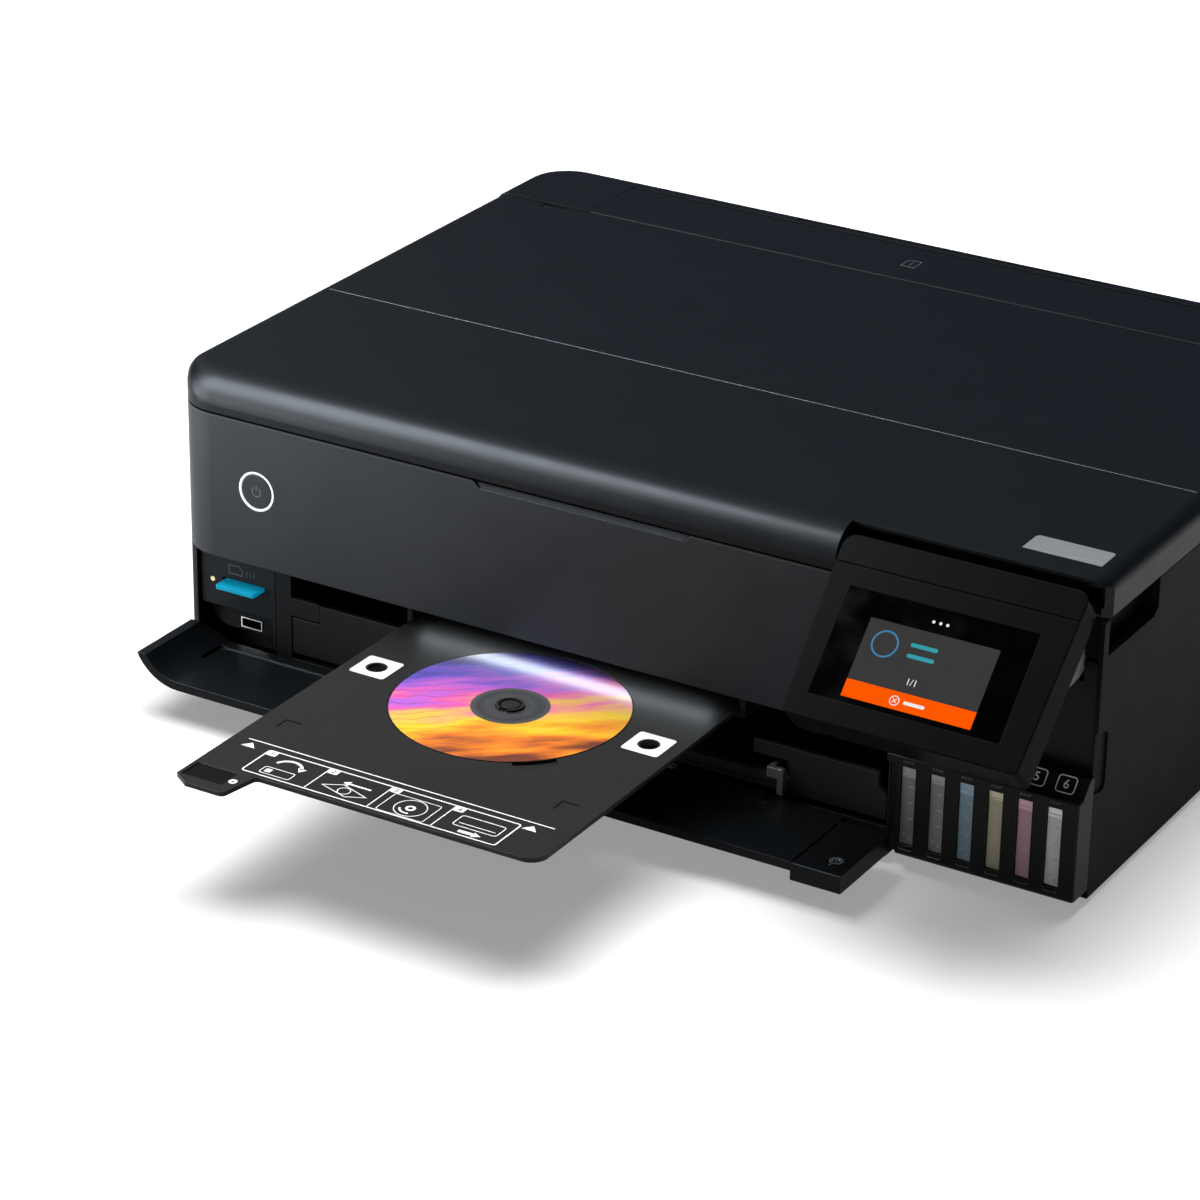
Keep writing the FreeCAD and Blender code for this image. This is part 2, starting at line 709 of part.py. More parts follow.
def rear_deck():
    """Top frame behind the lid: it rounds off the rear edge and holds the feed cover."""
    plan = body_plan(0, LID_BOTTOM_Z, BODY_HEIGHT)
    solid = plan.common(block(LEFT_X, RIGHT_X, DECK_FRONT_Y, REAR_Y, 0, BODY_HEIGHT))
    solid = rounded(
        solid,
        [(lambda e: middle_of(e).z > BODY_HEIGHT - 0.01 and middle_of(e).y > DECK_FRONT_Y + 1, DECK_ROUND, DECK_ROUND)],
    )
    inner = body_plan(CASE_WALL, LID_BOTTOM_Z, BODY_HEIGHT - CASE_WALL)
    inner = inner.common(block(LEFT_X, RIGHT_X, DECK_FRONT_Y + CASE_WALL, REAR_Y, 0, BODY_HEIGHT))
    gap = RUNNING_GAP
    mouth = block(
        -FEED_COVER_HALF_WIDTH - gap,
        FEED_COVER_HALF_WIDTH + gap,
        DECK_FRONT_Y - 1,
        FEED_COVER_REAR_Y + FEED_COVER_SWEEP,
        LID_BOTTOM_Z + 6,
        BODY_HEIGHT + 1,
    )
    support_slot = block(
        -SUPPORT_HALF_WIDTH - gap,
        SUPPORT_HALF_WIDTH + gap,
        SUPPORT_FRONT_Y - gap,
        SUPPORT_FRONT_Y + SUPPORT_THICKNESS + gap,
        0,
        BODY_HEIGHT + 1,
    )
    cheeks = []
    for side in (-1, 1):
        x_in = side * FEED_COVER_HALF_WIDTH + side * gap
        x_out = side * (FEED_COVER_HALF_WIDTH + 5)
        cheek = block(
            min(x_in, x_out), max(x_in, x_out), FEED_COVER_HINGE_Y - 4, FEED_COVER_REAR_Y + 2,
            BODY_HEIGHT - 12, BODY_HEIGHT - 2
        )
        cheeks.append(cheek)
    pin_holes = rod(
        "x",
        FEED_COVER_PIN + PIN_PLAY,
        (-FEED_COVER_HALF_WIDTH - 3.5, FEED_COVER_HINGE_Y, FEED_COVER_HINGE_Z),
        2 * FEED_COVER_HALF_WIDTH + 7.0,
    )
    shell = fuse(solid.cut(inner), *cheeks)
    return cut(shell, mouth, support_slot, pin_holes)


def rear_feed_cover():
    """Flap over the rear paper feed, hinged at its back edge on two stub pins."""
    gap = RUNNING_GAP
    top = BODY_HEIGHT
    plate = prism_x(
        [
            (DECK_FRONT_Y, top - FEED_COVER_THICKNESS),
            (DECK_FRONT_Y, top, 0.8),
            (FEED_COVER_REAR_Y, top, 0.8),
            (FEED_COVER_REAR_Y, top - FEED_COVER_THICKNESS),
        ],
        -FEED_COVER_HALF_WIDTH,
        FEED_COVER_HALF_WIDTH,
    )
    ears = []
    for side in (-1, 1):
        x0 = side * (FEED_COVER_HALF_WIDTH - 4)
        x1 = side * FEED_COVER_HALF_WIDTH
        low = min(x0, x1)
        ear = rod("x", FEED_COVER_EAR, (low, FEED_COVER_HINGE_Y, FEED_COVER_HINGE_Z), 4)
        pin_start = x1 if side > 0 else x1 - 3.0
        pin = rod("x", FEED_COVER_PIN, (pin_start, FEED_COVER_HINGE_Y, FEED_COVER_HINGE_Z), 3.0)
        ears.append(fuse(ear, pin))
    ribs = [
        block(
            x - 0.8, x + 0.8, DECK_FRONT_Y + 4, FEED_COVER_REAR_Y - 6,
            top - FEED_COVER_THICKNESS - 2, top - 1
        )
        for x in (-150, -75, 0, 75, 150)
    ]
    thumb = block(-30, 30, DECK_FRONT_Y + gap, DECK_FRONT_Y + 3, top - FEED_COVER_THICKNESS - 3, top - 1)
    return fuse(plate, thumb, *ears, *ribs)


def paper_support():
    """Rear paper support that pulls up out of its slot, with a turned-over top grip."""
    y0 = SUPPORT_FRONT_Y
    y1 = y0 + SUPPORT_THICKNESS
    top = BODY_HEIGHT - 1.0
    plate = prism_y(
        [
            (-SUPPORT_HALF_WIDTH, top - SUPPORT_LENGTH),
            (SUPPORT_HALF_WIDTH, top - SUPPORT_LENGTH),
            (SUPPORT_HALF_WIDTH, top, 2.0),
            (-SUPPORT_HALF_WIDTH, top, 2.0),
        ],
        y0,
        y1,
    )
    grip = block(-22, 22, y0 - 1, y0 + 1.2, top - 9, top - 3)
    grooves = [block(x - 12, x + 12, y0 - 1, y0 + 0.8, top - 100, top - 20) for x in (-60, 60)]
    return cut(plate, grip, *grooves)


def hopper():
    """Sloping plate that leads paper from the rear slot down to the feed roller."""
    top = LID_BOTTOM_Z
    foot_y, foot_z = HOPPER_FOOT_Y, HOPPER_FOOT_Z
    profile = [(HOPPER_TOP_Y + 2.0, top), (HOPPER_TOP_Y, top), (foot_y, foot_z), (foot_y + 2.5, foot_z)]
    plate = prism_x(profile, -HOPPER_HALF_WIDTH, HOPPER_HALF_WIDTH)
    rib_profile = [
        (HOPPER_TOP_Y + 2.5, top),
        (HOPPER_TOP_Y + 1.5, top),
        (foot_y + 2.0, foot_z),
        (foot_y + 10.0, foot_z),
    ]
    rib_x = [HOPPER_HALF_WIDTH * share for share in (-0.93, -0.52, -0.17, 0.17, 0.52, 0.93)]
    ribs = [prism_x(rib_profile, x - 1, x + 1) for x in rib_x]
    legs = [
        block(x - 2, x + 2, foot_y + 2.0, foot_y + 9.5, BASE_FLOOR_Z + 1.2, foot_z + 2)
        for x in (-HOPPER_HALF_WIDTH + 2, HOPPER_HALF_WIDTH - 2)
    ]
    return fuse(plate, *ribs, *legs)


def rear_guide():
    """Sliding edge guide on the hopper plate."""
    rise = 12.0
    slope = math.atan2(LID_BOTTOM_Z - HOPPER_FOOT_Z, HOPPER_TOP_Y - HOPPER_FOOT_Y)
    normal = (-math.sin(slope), math.cos(slope))
    near = (HOPPER_FOOT_Y + REAR_GUIDE_LOW, HOPPER_FOOT_Z + REAR_GUIDE_LOW * math.tan(slope))
    far = (HOPPER_FOOT_Y + REAR_GUIDE_HIGH, HOPPER_FOOT_Z + REAR_GUIDE_HIGH * math.tan(slope))
    gap = RUNNING_GAP
    fin = prism_x(
        [
            (near[0] + normal[0] * gap, near[1] + normal[1] * gap),
            (far[0] + normal[0] * gap, far[1] + normal[1] * gap),
            (far[0] + normal[0] * rise, far[1] + normal[1] * rise, 3.0),
            (near[0] + normal[0] * rise, near[1] + normal[1] * rise, 3.0),
        ],
        REAR_GUIDE_X,
        REAR_GUIDE_X + 2.5,
    )
    foot = prism_x(
        [
            (near[0] + normal[0] * gap, near[1] + normal[1] * gap),
            (far[0] + normal[0] * gap, far[1] + normal[1] * gap),
            (far[0] + normal[0] * (gap + 1.6), far[1] + normal[1] * (gap + 1.6)),
            (near[0] + normal[0] * (gap + 1.6), near[1] + normal[1] * (gap + 1.6)),
        ],
        REAR_GUIDE_X - 14,
        REAR_GUIDE_X,
    )
    return fuse(fin, foot)


# ---------------------------------------------------------------- fascia, button, card panel


def front_fascia():
    """Front panel wrapped round the left corner, with the finger grip under the lid."""
    ring = case_ring(FASCIA_BOTTOM_Z, BODY_TOP_Z)
    shell = ring.common(block(LEFT_X, FASCIA_RIGHT_X, FRONT_Y, FASCIA_WRAP_Y, 0, BODY_HEIGHT))
    end_wall = block(
        FASCIA_RIGHT_X - CASE_WALL, FASCIA_RIGHT_X, FRONT_Y, INNER_FRONT_Y - SEAM_GAP,
        FASCIA_BOTTOM_Z, BODY_TOP_Z
    )
    underside = block(
        OPENING_LEFT_X, FASCIA_RIGHT_X, FRONT_Y, INNER_FRONT_Y - SEAM_GAP,
        FASCIA_BOTTOM_Z, FASCIA_BOTTOM_Z + CASE_WALL
    )
    grip_wall = 2.0
    grip_floor_z = BODY_TOP_Z - FINGER_GRIP_HEIGHT
    liner = block(
        FINGER_GRIP_LEFT_X - grip_wall,
        FINGER_GRIP_RIGHT_X + grip_wall,
        FRONT_Y + CASE_WALL,
        FRONT_Y + FINGER_GRIP_DEPTH + grip_wall,
        grip_floor_z - grip_wall,
        BODY_TOP_Z,
    )
    grip = prism_y(
        [
            (FINGER_GRIP_LEFT_X, BODY_TOP_Z + 1),
            (FINGER_GRIP_LEFT_X, BODY_TOP_Z),
            (FINGER_GRIP_LEFT_X + 5, grip_floor_z, 2.0),
            (FINGER_GRIP_RIGHT_X - 5, grip_floor_z, 2.0),
            (FINGER_GRIP_RIGHT_X, BODY_TOP_Z),
            (FINGER_GRIP_RIGHT_X, BODY_TOP_Z + 1),
        ],
        FRONT_Y - 1,
        FRONT_Y + FINGER_GRIP_DEPTH,
    )
    ring_radius = BUTTON_RADIUS + PIN_PLAY + LIGHT_RING_WIDTH
    sleeve = rod("y", ring_radius + 1.6, (BUTTON_X, FRONT_Y + CASE_WALL / 2, BUTTON_Z), BUTTON_DEPTH)
    bore = rod("y", ring_radius, (BUTTON_X, FRONT_Y - 1, BUTTON_Z), BUTTON_DEPTH + 6)
    ribs = [
        block(
            x - 1, x + 1, FRONT_Y + CASE_WALL / 2, FRONT_Y + 5,
            FASCIA_BOTTOM_Z + 1, grip_floor_z - grip_wall
        )
        for x in (-160, -110, 0, 90)
    ]
    return cut(fuse(shell, end_wall, underside, liner, sleeve, *ribs), grip, bore)


def power_light_ring():
    """Clear ring round the power button that carries its light."""
    outer = rod("y", BUTTON_RADIUS + PIN_PLAY + LIGHT_RING_WIDTH, (BUTTON_X, FRONT_Y, BUTTON_Z), BUTTON_DEPTH)
    return outer.cut(rod("y", BUTTON_RADIUS + PIN_PLAY, (BUTTON_X, FRONT_Y - 1, BUTTON_Z), BUTTON_DEPTH + 2))


def power_button():
    """Round push button with a domed face and a stem behind it."""
    cap = rod("y", BUTTON_RADIUS, (BUTTON_X, FRONT_Y, BUTTON_Z), BUTTON_DEPTH - 1)
    cap = cap.makeChamfer(0.5, [e for e in cap.Edges if middle_of(e).y < FRONT_Y + 0.01 and e.Length > 1])
    stem_y = FRONT_Y + BUTTON_DEPTH - 1.5
    stem = block(BUTTON_X - 2.5, BUTTON_X + 2.5, stem_y, stem_y + 4, BUTTON_Z - 2.5, BUTTON_Z + 2.5)
    return fuse(cap, stem)


def card_opening(play):
    """The memory card's body, grown by some play, as a tool for its slot."""
    return block(
        CARD_LEFT_X - play,
        CARD_LEFT_X + CARD_WIDTH + play,
        CARD_FRONT_Y,
        CARD_FRONT_Y + CARD_LENGTH + play,
        CARD_BOTTOM_Z - play,
        CARD_BOTTOM_Z + CARD_THICKNESS + play,
    )


def card_panel():
    """Panel at the left of the opening: card slot above, a recess with the USB socket below."""
    top = FASCIA_BOTTOM_Z - SEAM_GAP
    back = CARD_PANEL_RECESS_Y + 14
    upper = block(CARD_PANEL_LEFT_X, CARD_PANEL_RIGHT_X, INNER_FRONT_Y, back, CARD_PANEL_SHELF_Z, top)
    lower = prism_y(
        [
            (CARD_PANEL_LEFT_X, CARD_PANEL_SHELF_Z),
            (CARD_PANEL_LEFT_X, CARD_PANEL_BOTTOM_Z, 12.0),
            (CARD_PANEL_RIGHT_X, CARD_PANEL_BOTTOM_Z),
            (CARD_PANEL_RIGHT_X, CARD_PANEL_SHELF_Z),
        ],
        CARD_PANEL_RECESS_Y,
        back,
    )
    cheek = block(
        CARD_PANEL_RIGHT_X - 1.5, CARD_PANEL_RIGHT_X, INNER_FRONT_Y, back,
        CARD_PANEL_BOTTOM_Z, CARD_PANEL_SHELF_Z
    )
    hollow = block(
        CARD_PANEL_LEFT_X + 2,
        CARD_PANEL_RIGHT_X - 2,
        INNER_FRONT_Y + 3.0,
        back + 1,
        CARD_PANEL_SHELF_Z + 2,
        top - 2,
    )
    hollow_low = block(
        CARD_PANEL_LEFT_X + 4,
        CARD_PANEL_RIGHT_X - 2,
        CARD_PANEL_RECESS_Y + 2.5,
        back + 1,
        CARD_PANEL_BOTTOM_Z + 1,
        CARD_PANEL_SHELF_Z - 1,
    )
    slot_wall = block(
        CARD_LEFT_X - 3,
        CARD_LEFT_X + CARD_WIDTH + 3,
        INNER_FRONT_Y + 1.0,
        INNER_FRONT_Y + 9,
        CARD_BOTTOM_Z - 3,
        CARD_BOTTOM_Z + CARD_THICKNESS + 3,
    )
    mouth = block(
        CARD_LEFT_X - 1.2,
        CARD_LEFT_X + CARD_WIDTH + 1.2,
        INNER_FRONT_Y - 1,
        INNER_FRONT_Y + 1.2,
        CARD_BOTTOM_Z - 1.2,
        CARD_BOTTOM_Z + CARD_THICKNESS + 1.2,
    )
    usb_hole = block(
        USB_LEFT_X - PIN_PLAY,
        USB_LEFT_X + USB_WIDTH + PIN_PLAY,
        CARD_PANEL_RECESS_Y - 1,
        back + 1,
        USB_BOTTOM_Z - PIN_PLAY,
        USB_BOTTOM_Z + USB_HEIGHT + PIN_PLAY,
    )
    led_hole = rod("y", LED_RADIUS, (LED_X, INNER_FRONT_Y - 1, LED_Z), 8)
    body = fuse(upper, lower, cheek)
    body = fuse(cut(body, hollow, hollow_low), slot_wall)
    return cut(body, card_opening(CARD_PLAY), mouth, usb_hole, led_hole)


def card_light():
    """Small lens beside the card slot."""
    return rod("y", LED_RADIUS, (LED_X, INNER_FRONT_Y - 0.3, LED_Z), 5)


def memory_card():
    """Memory card with its chamfered corner, standing out of the slot."""
    x1 = CARD_LEFT_X + CARD_WIDTH
    y0, y1 = CARD_FRONT_Y, CARD_FRONT_Y + CARD_LENGTH
    card = prism_z(
        [(CARD_LEFT_X, y0, 1.0), (x1, y0, 1.0), (x1, y1 - 4, 0), (x1 - 4, y1, 0), (CARD_LEFT_X, y1, 0.8)],
        CARD_BOTTOM_Z,
        CARD_BOTTOM_Z + CARD_THICKNESS,
    )
    return card


def usb_socket():
    """Folded steel shell of the USB socket with its contact tongue."""
    x1 = USB_LEFT_X + USB_WIDTH
    z1 = USB_BOTTOM_Z + USB_HEIGHT
    y0 = CARD_PANEL_RECESS_Y - 0.4
    shell = block(USB_LEFT_X, x1, y0, y0 + USB_DEPTH, USB_BOTTOM_Z, z1)
    inside = block(
        USB_LEFT_X + USB_SHELL, x1 - USB_SHELL, y0 - 1, y0 + USB_DEPTH - 1,
        USB_BOTTOM_Z + USB_SHELL, z1 - USB_SHELL
    )
    tongue = block(USB_LEFT_X + 1.2, x1 - 1.2, y0 + 5, y0 + USB_DEPTH - 0.5, z1 - 1.4, z1 - USB_SHELL)
    return fuse(shell.cut(inside), tongue)


READER_BOARD_Y = CARD_PANEL_RECESS_Y + 14 + 0.3


def reader_board():
    """Upright circuit board behind the card panel with the card cage on it."""
    board = block(
        CARD_PANEL_LEFT_X + 4,
        CARD_PANEL_RIGHT_X - 2,
        READER_BOARD_Y,
        READER_BOARD_Y + BOARD_THICKNESS,
        CARD_PANEL_BOTTOM_Z - 8,
        FASCIA_BOTTOM_Z - 4,
    )
    cage_front = INNER_FRONT_Y + 9.3
    cage = block(
        CARD_LEFT_X - 2, CARD_LEFT_X + CARD_WIDTH + 2, cage_front, READER_BOARD_Y + 1,
        CARD_BOTTOM_Z - 2.5, CARD_BOTTOM_Z + 4.5
    )
    foot = block(
        CARD_PANEL_LEFT_X + 10,
        CARD_PANEL_RIGHT_X - 10,
        READER_BOARD_Y,
        READER_BOARD_Y + 12,
        BASE_FLOOR_Z,
        CARD_PANEL_BOTTOM_Z - 6,
    )
    return cut(fuse(board, cage, foot), card_opening(CARD_PLAY))


# ---------------------------------------------------------------- inner front frame and trays


def slot_frame():
    """Fixed inner front: left strip with its tab, top band and the posts beside the disc slot."""
    y1 = INNER_FRONT_Y + INNER_PLATE
    left = CARD_PANEL_RIGHT_X + SEAM_GAP
    strip = block(left, OPENING_LEFT_X, INNER_FRONT_Y, y1, OPENING_BOTTOM_Z - 4, FASCIA_BOTTOM_Z - SEAM_GAP)
    tab = block(left, TAB_RIGHT_X, INNER_FRONT_Y, y1, TAB_BOTTOM_Z, SLOT_SILL_Z)
    band = block(
        left, FASCIA_RIGHT_X, INNER_FRONT_Y, y1, FASCIA_BOTTOM_Z + CASE_WALL + SEAM_GAP, FASCIA_BOTTOM_Z + 12
    )
    link = block(left, OPENING_LEFT_X, INNER_FRONT_Y + 0.6, y1, FASCIA_BOTTOM_Z - 1, FASCIA_BOTTOM_Z + 6)
    right_strip = block(
        TANK_LEFT_X - SEAM_GAP - 1.2, TANK_LEFT_X - SEAM_GAP, INNER_FRONT_Y, y1, BASE_FLOOR_Z, TANK_TOP_Z
    )
    sill = block(left, TANK_LEFT_X - SEAM_GAP, INNER_FRONT_Y, y1, BASE_FLOOR_Z, OPENING_BOTTOM_Z)
    return fuse(strip, tab, band, link, right_strip, sill)


TRAY_LEFT_X = TRAY_CENTRE_X - TRAY_WIDTH / 2
TRAY_RIGHT_X = TRAY_CENTRE_X + TRAY_WIDTH / 2
TRAY_BOTTOM_Z = TRAY_TOP_Z - TRAY_THICKNESS


def disc_guides():
    """Pair of channel rails for the disc tray, each with a lower lip that carries the output tray."""
    y0 = INNER_FRONT_Y + INNER_PLATE
    shelf_z = TRAY_BOTTOM_Z - 2.4
    lip_z = OUTPUT_TRAY_BOTTOM_Z - RUNNING_GAP
    rails = []
    for side, edge in ((-1, TRAY_LEFT_X), (1, TRAY_RIGHT_X)):
        outer = edge + side * (TRAY_PLAY + 3.0)
        inner = edge - side * GUIDE_RAIL_LIP
        low, high = min(outer, inner), max(outer, inner)
        rail = block(low, high, y0, GUIDE_RAIL_REAR_Y, shelf_z, TRAY_TOP_Z + 3.2)
        wall_side = edge + side * TRAY_PLAY
        channel = block(
            min(inner - side, wall_side),
            max(inner - side, wall_side),
            y0 - 1,
            GUIDE_RAIL_REAR_Y + 1,
            TRAY_BOTTOM_Z - RUNNING_GAP,
            TRAY_TOP_Z + 4,
        )
        post = block(min(outer, wall_side), max(outer, wall_side), y0, y0 + 26, shelf_z, FASCIA_BOTTOM_Z + 12)
        lip_end = inner - side * 9.0
        web_end = inner - side * 1.5
        web = block(
            min(inner, web_end), max(inner, web_end), y0 + 1, GUIDE_RAIL_REAR_Y, lip_z - 1.4, shelf_z + 2
        )
        lip = block(min(inner, lip_end), max(inner, lip_end), y0 + 1, GUIDE_RAIL_REAR_Y, lip_z - 1.4, lip_z)
        rails.append(fuse(rail.cut(channel), post, web, lip))
    return group(rails)


def disc_tray():
    """Flat disc carrier: round pocket with a sprung hub, sight holes, thumb notch and pull tab."""
    corner = TRAY_CORNER
    tab_right = TRAY_LEFT_X + TRAY_TAB_WIDTH
    tab_y = TRAY_FRONT_Y - TRAY_TAB_LENGTH
    plate = prism_z(
        [
            (TRAY_LEFT_X, TRAY_REAR_Y, corner),
            (TRAY_LEFT_X, tab_y + 6, 0),
            (TRAY_LEFT_X + 9, tab_y, 0),
            (tab_right - 4, tab_y, 3.0),
            (tab_right, TRAY_FRONT_Y, 3.0),
            (TRAY_RIGHT_X, TRAY_FRONT_Y, 9.0),
            (TRAY_RIGHT_X, TRAY_REAR_Y, corner),
        ],
        TRAY_BOTTOM_Z,
        TRAY_TOP_Z,
    )
    floor_z = TRAY_TOP_Z - DISC_POCKET_DEPTH
    pocket = rod("z", DISC_RADIUS + DISC_PLAY, (TRAY_CENTRE_X, DISC_CENTRE_Y, floor_z), 5)
    thumb = rod(
        "z", THUMB_NOTCH_RADIUS,
        (TRAY_CENTRE_X + THUMB_NOTCH_X, DISC_CENTRE_Y + THUMB_NOTCH_Y, floor_z - 0.6),
        5
    )
    holes = [
        rod(
            "z", SIGHT_HOLE_RADIUS,
            (TRAY_CENTRE_X + side * SIGHT_HOLE_X, DISC_CENTRE_Y + 1.0, TRAY_BOTTOM_Z - 1),
            5
        )
        for side in (-1, 1)
    ]
    recess = block(
        TRAY_LEFT_X + 2.0, tab_right - 9, tab_y + 6.5, TRAY_FRONT_Y - 1.5,
        TRAY_TOP_Z - 0.7, TRAY_TOP_Z + 1
    )
    boss = rod("z", BOSS_RADIUS, (TRAY_CENTRE_X, DISC_CENTRE_Y, floor_z), BOSS_HEIGHT)
    groove = rod("z", BOSS_RADIUS - 1.3, (TRAY_CENTRE_X, DISC_CENTRE_Y, floor_z + 0.3), BOSS_HEIGHT)
    core = rod("z", BOSS_CORE_RADIUS, (TRAY_CENTRE_X, DISC_CENTRE_Y, floor_z), BOSS_HEIGHT - 0.3)
    claw_gap = block(
        TRAY_CENTRE_X - 2.2, TRAY_CENTRE_X + 2.2, DISC_CENTRE_Y - 9, DISC_CENTRE_Y, floor_z + 0.3, floor_z + 4
    )
    ring = boss.cut(groove).cut(claw_gap)
    return fuse(cut(plate, pocket, thumb, recess, *holes), ring, core)


def disc():
    """Printable disc lying in the tray's pocket."""
    z0 = TRAY_TOP_Z - DISC_POCKET_DEPTH
    plate = rod("z", DISC_RADIUS, (TRAY_CENTRE_X, DISC_CENTRE_Y, z0), DISC_THICKNESS)
    hole = rod("z", DISC_HOLE_RADIUS, (TRAY_CENTRE_X, DISC_CENTRE_Y, z0 - 1), DISC_THICKNESS + 2)
    return plate.cut(hole)


CASSETTE_FRONT_Y1 = INNER_FRONT_Y + INNER_PLATE


def main_cassette():
    """Lower paper cassette: stepped front plate with a hand cut-out and a shallow tray behind."""
    gap = RUNNING_GAP
    left = OPENING_LEFT_X + 1.0
    right = OPENING_RIGHT_X - gap
    raised_left = TAB_RIGHT_X + gap
    front = prism_y(
        [
            (left, CASSETTE_BOTTOM_Z),
            (right, CASSETTE_BOTTOM_Z),
            (right, CASSETTE_RIGHT_TOP_Z - 11.0),
            (CASSETTE_NOTCH_X, CASSETTE_RIGHT_TOP_Z - 7.0),
            (CASSETTE_NOTCH_X, CASSETTE_RIGHT_TOP_Z),
            (CASSETTE_CUT_LEFT_X, CASSETTE_RIGHT_TOP_Z),
            (CASSETTE_CUT_LEFT_X, SLOT_SILL_Z - gap),
            (raised_left, SLOT_SILL_Z - gap),
            (raised_left, TAB_BOTTOM_Z - 1.0),
            (left, TAB_BOTTOM_Z - 1.0),
        ],
        INNER_FRONT_Y,
        CASSETTE_FRONT_Y1,
    )
    hand = prism_y(
        [
            (CASSETTE_CUT_LEFT_X, CASSETTE_BOTTOM_Z + CASSETTE_FLOOR),
            (CASSETTE_CUT_RIGHT_X, CASSETTE_BOTTOM_Z + CASSETTE_FLOOR),
            (CASSETTE_CUT_RIGHT_X, CASSETTE_BAND_BOTTOM_Z),
            (CASSETTE_BAND_X, CASSETTE_BAND_BOTTOM_Z),
            (CASSETTE_BAND_X, SLOT_SILL_Z + 1),
            (CASSETTE_CUT_LEFT_X, SLOT_SILL_Z + 1),
        ],
        INNER_FRONT_Y - 1,
        CASSETTE_FRONT_Y1 + 1,
    )
    x0 = CASSETTE_CENTRE_X - CASSETTE_HALF_WIDTH
    x1 = CASSETTE_CENTRE_X + CASSETTE_HALF_WIDTH
    floor_top = CASSETTE_BOTTOM_Z + CASSETTE_FLOOR
    floor = block(x0, x1, CASSETTE_FRONT_Y1, CASSETTE_REAR_Y, CASSETTE_BOTTOM_Z, floor_top)
    window = block(x0 + 40, x1 - 40, -60, 60, CASSETTE_BOTTOM_Z - 1, floor_top + 1)
    walls = [
        block(
            x0, x0 + CASSETTE_SIDE_WALL, CASSETTE_FRONT_Y1, CASSETTE_REAR_Y,
            CASSETTE_BOTTOM_Z, TAB_BOTTOM_Z - 4
        ),
        block(
            x1 - CASSETTE_SIDE_WALL, x1, CASSETTE_FRONT_Y1, CASSETTE_REAR_Y,
            CASSETTE_BOTTOM_Z, TAB_BOTTOM_Z - 4
        ),
    ]
    return fuse(cut(front, hand), cut(floor, window), *walls)


def photo_cassette():
    """Small photo-paper cassette that rides above the main cassette's floor."""
    y0 = INNER_FRONT_Y + 0.4
    floor = block(PHOTO_LEFT_X, PHOTO_RIGHT_X, y0, PHOTO_REAR_Y, PHOTO_BOTTOM_Z, PHOTO_BOTTOM_Z + 1.8)
    walls = [
        block(PHOTO_LEFT_X, PHOTO_LEFT_X + 2, y0 + 2, PHOTO_REAR_Y, PHOTO_BOTTOM_Z, PHOTO_WALL_TOP_Z),
        block(PHOTO_RIGHT_X - 2, PHOTO_RIGHT_X, y0 + 2, PHOTO_REAR_Y, PHOTO_BOTTOM_Z, PHOTO_WALL_TOP_Z),
        block(
            PHOTO_LEFT_X, PHOTO_RIGHT_X, PHOTO_REAR_Y - 2, PHOTO_REAR_Y,
            PHOTO_BOTTOM_Z, PHOTO_WALL_TOP_Z - 4
        ),
    ]
    lip = prism_x(
        [
            (y0, PHOTO_BOTTOM_Z),
            (y0 + 14, PHOTO_BOTTOM_Z),
            (y0 + 14, PHOTO_BOTTOM_Z + 1.8),
            (y0 + 3, PHOTO_LIP_TOP_Z, 1.0),
            (y0, PHOTO_LIP_TOP_Z - 1, 0.5),
        ],
        PHOTO_LEFT_X,
        PHOTO_RIGHT_X,
    )
    return fuse(floor, lip, *walls)


def paper_guide():
    """Edge guide of the photo cassette: an upright fin with a hooked finger tab at the front."""
    z0 = PHOTO_BOTTOM_Z + 1.8 + RUNNING_GAP
    bar_z = PHOTO_LIP_TOP_Z + RUNNING_GAP
    x1 = GUIDE_LEFT_X + GUIDE_THICKNESS
    side = prism_x(
        [
            (GUIDE_TAB_Y, bar_z),
            (INNER_FRONT_Y + 24, bar_z),
            (INNER_FRONT_Y + 24, z0),
            (INNER_FRONT_Y + 84, z0),
            (INNER_FRONT_Y + 84, GUIDE_TOP_Z),
            (GUIDE_TAB_Y, GUIDE_TOP_Z),
        ],
        GUIDE_LEFT_X,
        x1,
    )
    tab = prism_y(
        [
            (GUIDE_LEFT_X, bar_z),
            (GUIDE_LEFT_X, GUIDE_TOP_Z),
            (GUIDE_LEFT_X + GUIDE_TAB_WIDTH, GUIDE_TOP_Z, 1.0),
            (GUIDE_LEFT_X + GUIDE_TAB_WIDTH, CASSETTE_BOTTOM_Z + 0.2),
            (GUIDE_LEFT_X + GUIDE_TAB_WIDTH - 3.2, CASSETTE_BOTTOM_Z + 0.2),
            (GUIDE_LEFT_X + GUIDE_TAB_WIDTH - 3.2, bar_z),
        ],
        GUIDE_TAB_Y,
        GUIDE_TAB_Y + 3.0,
    )
    return fuse(side, tab)


def output_tray():
    """Thin output tray stored between the cassettes and the disc slot."""
    y0 = INNER_FRONT_Y + 0.4
    x0 = TRAY_CENTRE_X - OUTPUT_TRAY_HALF_WIDTH
    x1 = TRAY_CENTRE_X + OUTPUT_TRAY_HALF_WIDTH
    z0 = OUTPUT_TRAY_BOTTOM_Z
    plate = block(x0, x1, y0, OUTPUT_TRAY_REAR_Y, z0, z0 + OUTPUT_TRAY_THICKNESS)
    slots = [block(x - 3, x + 3, y0 + 20, OUTPUT_TRAY_REAR_Y - 20, z0 - 1, z0 + 4) for x in (-70, -20, 30)]
    return cut(plate, *slots)


# ---------------------------------------------------------------- front door


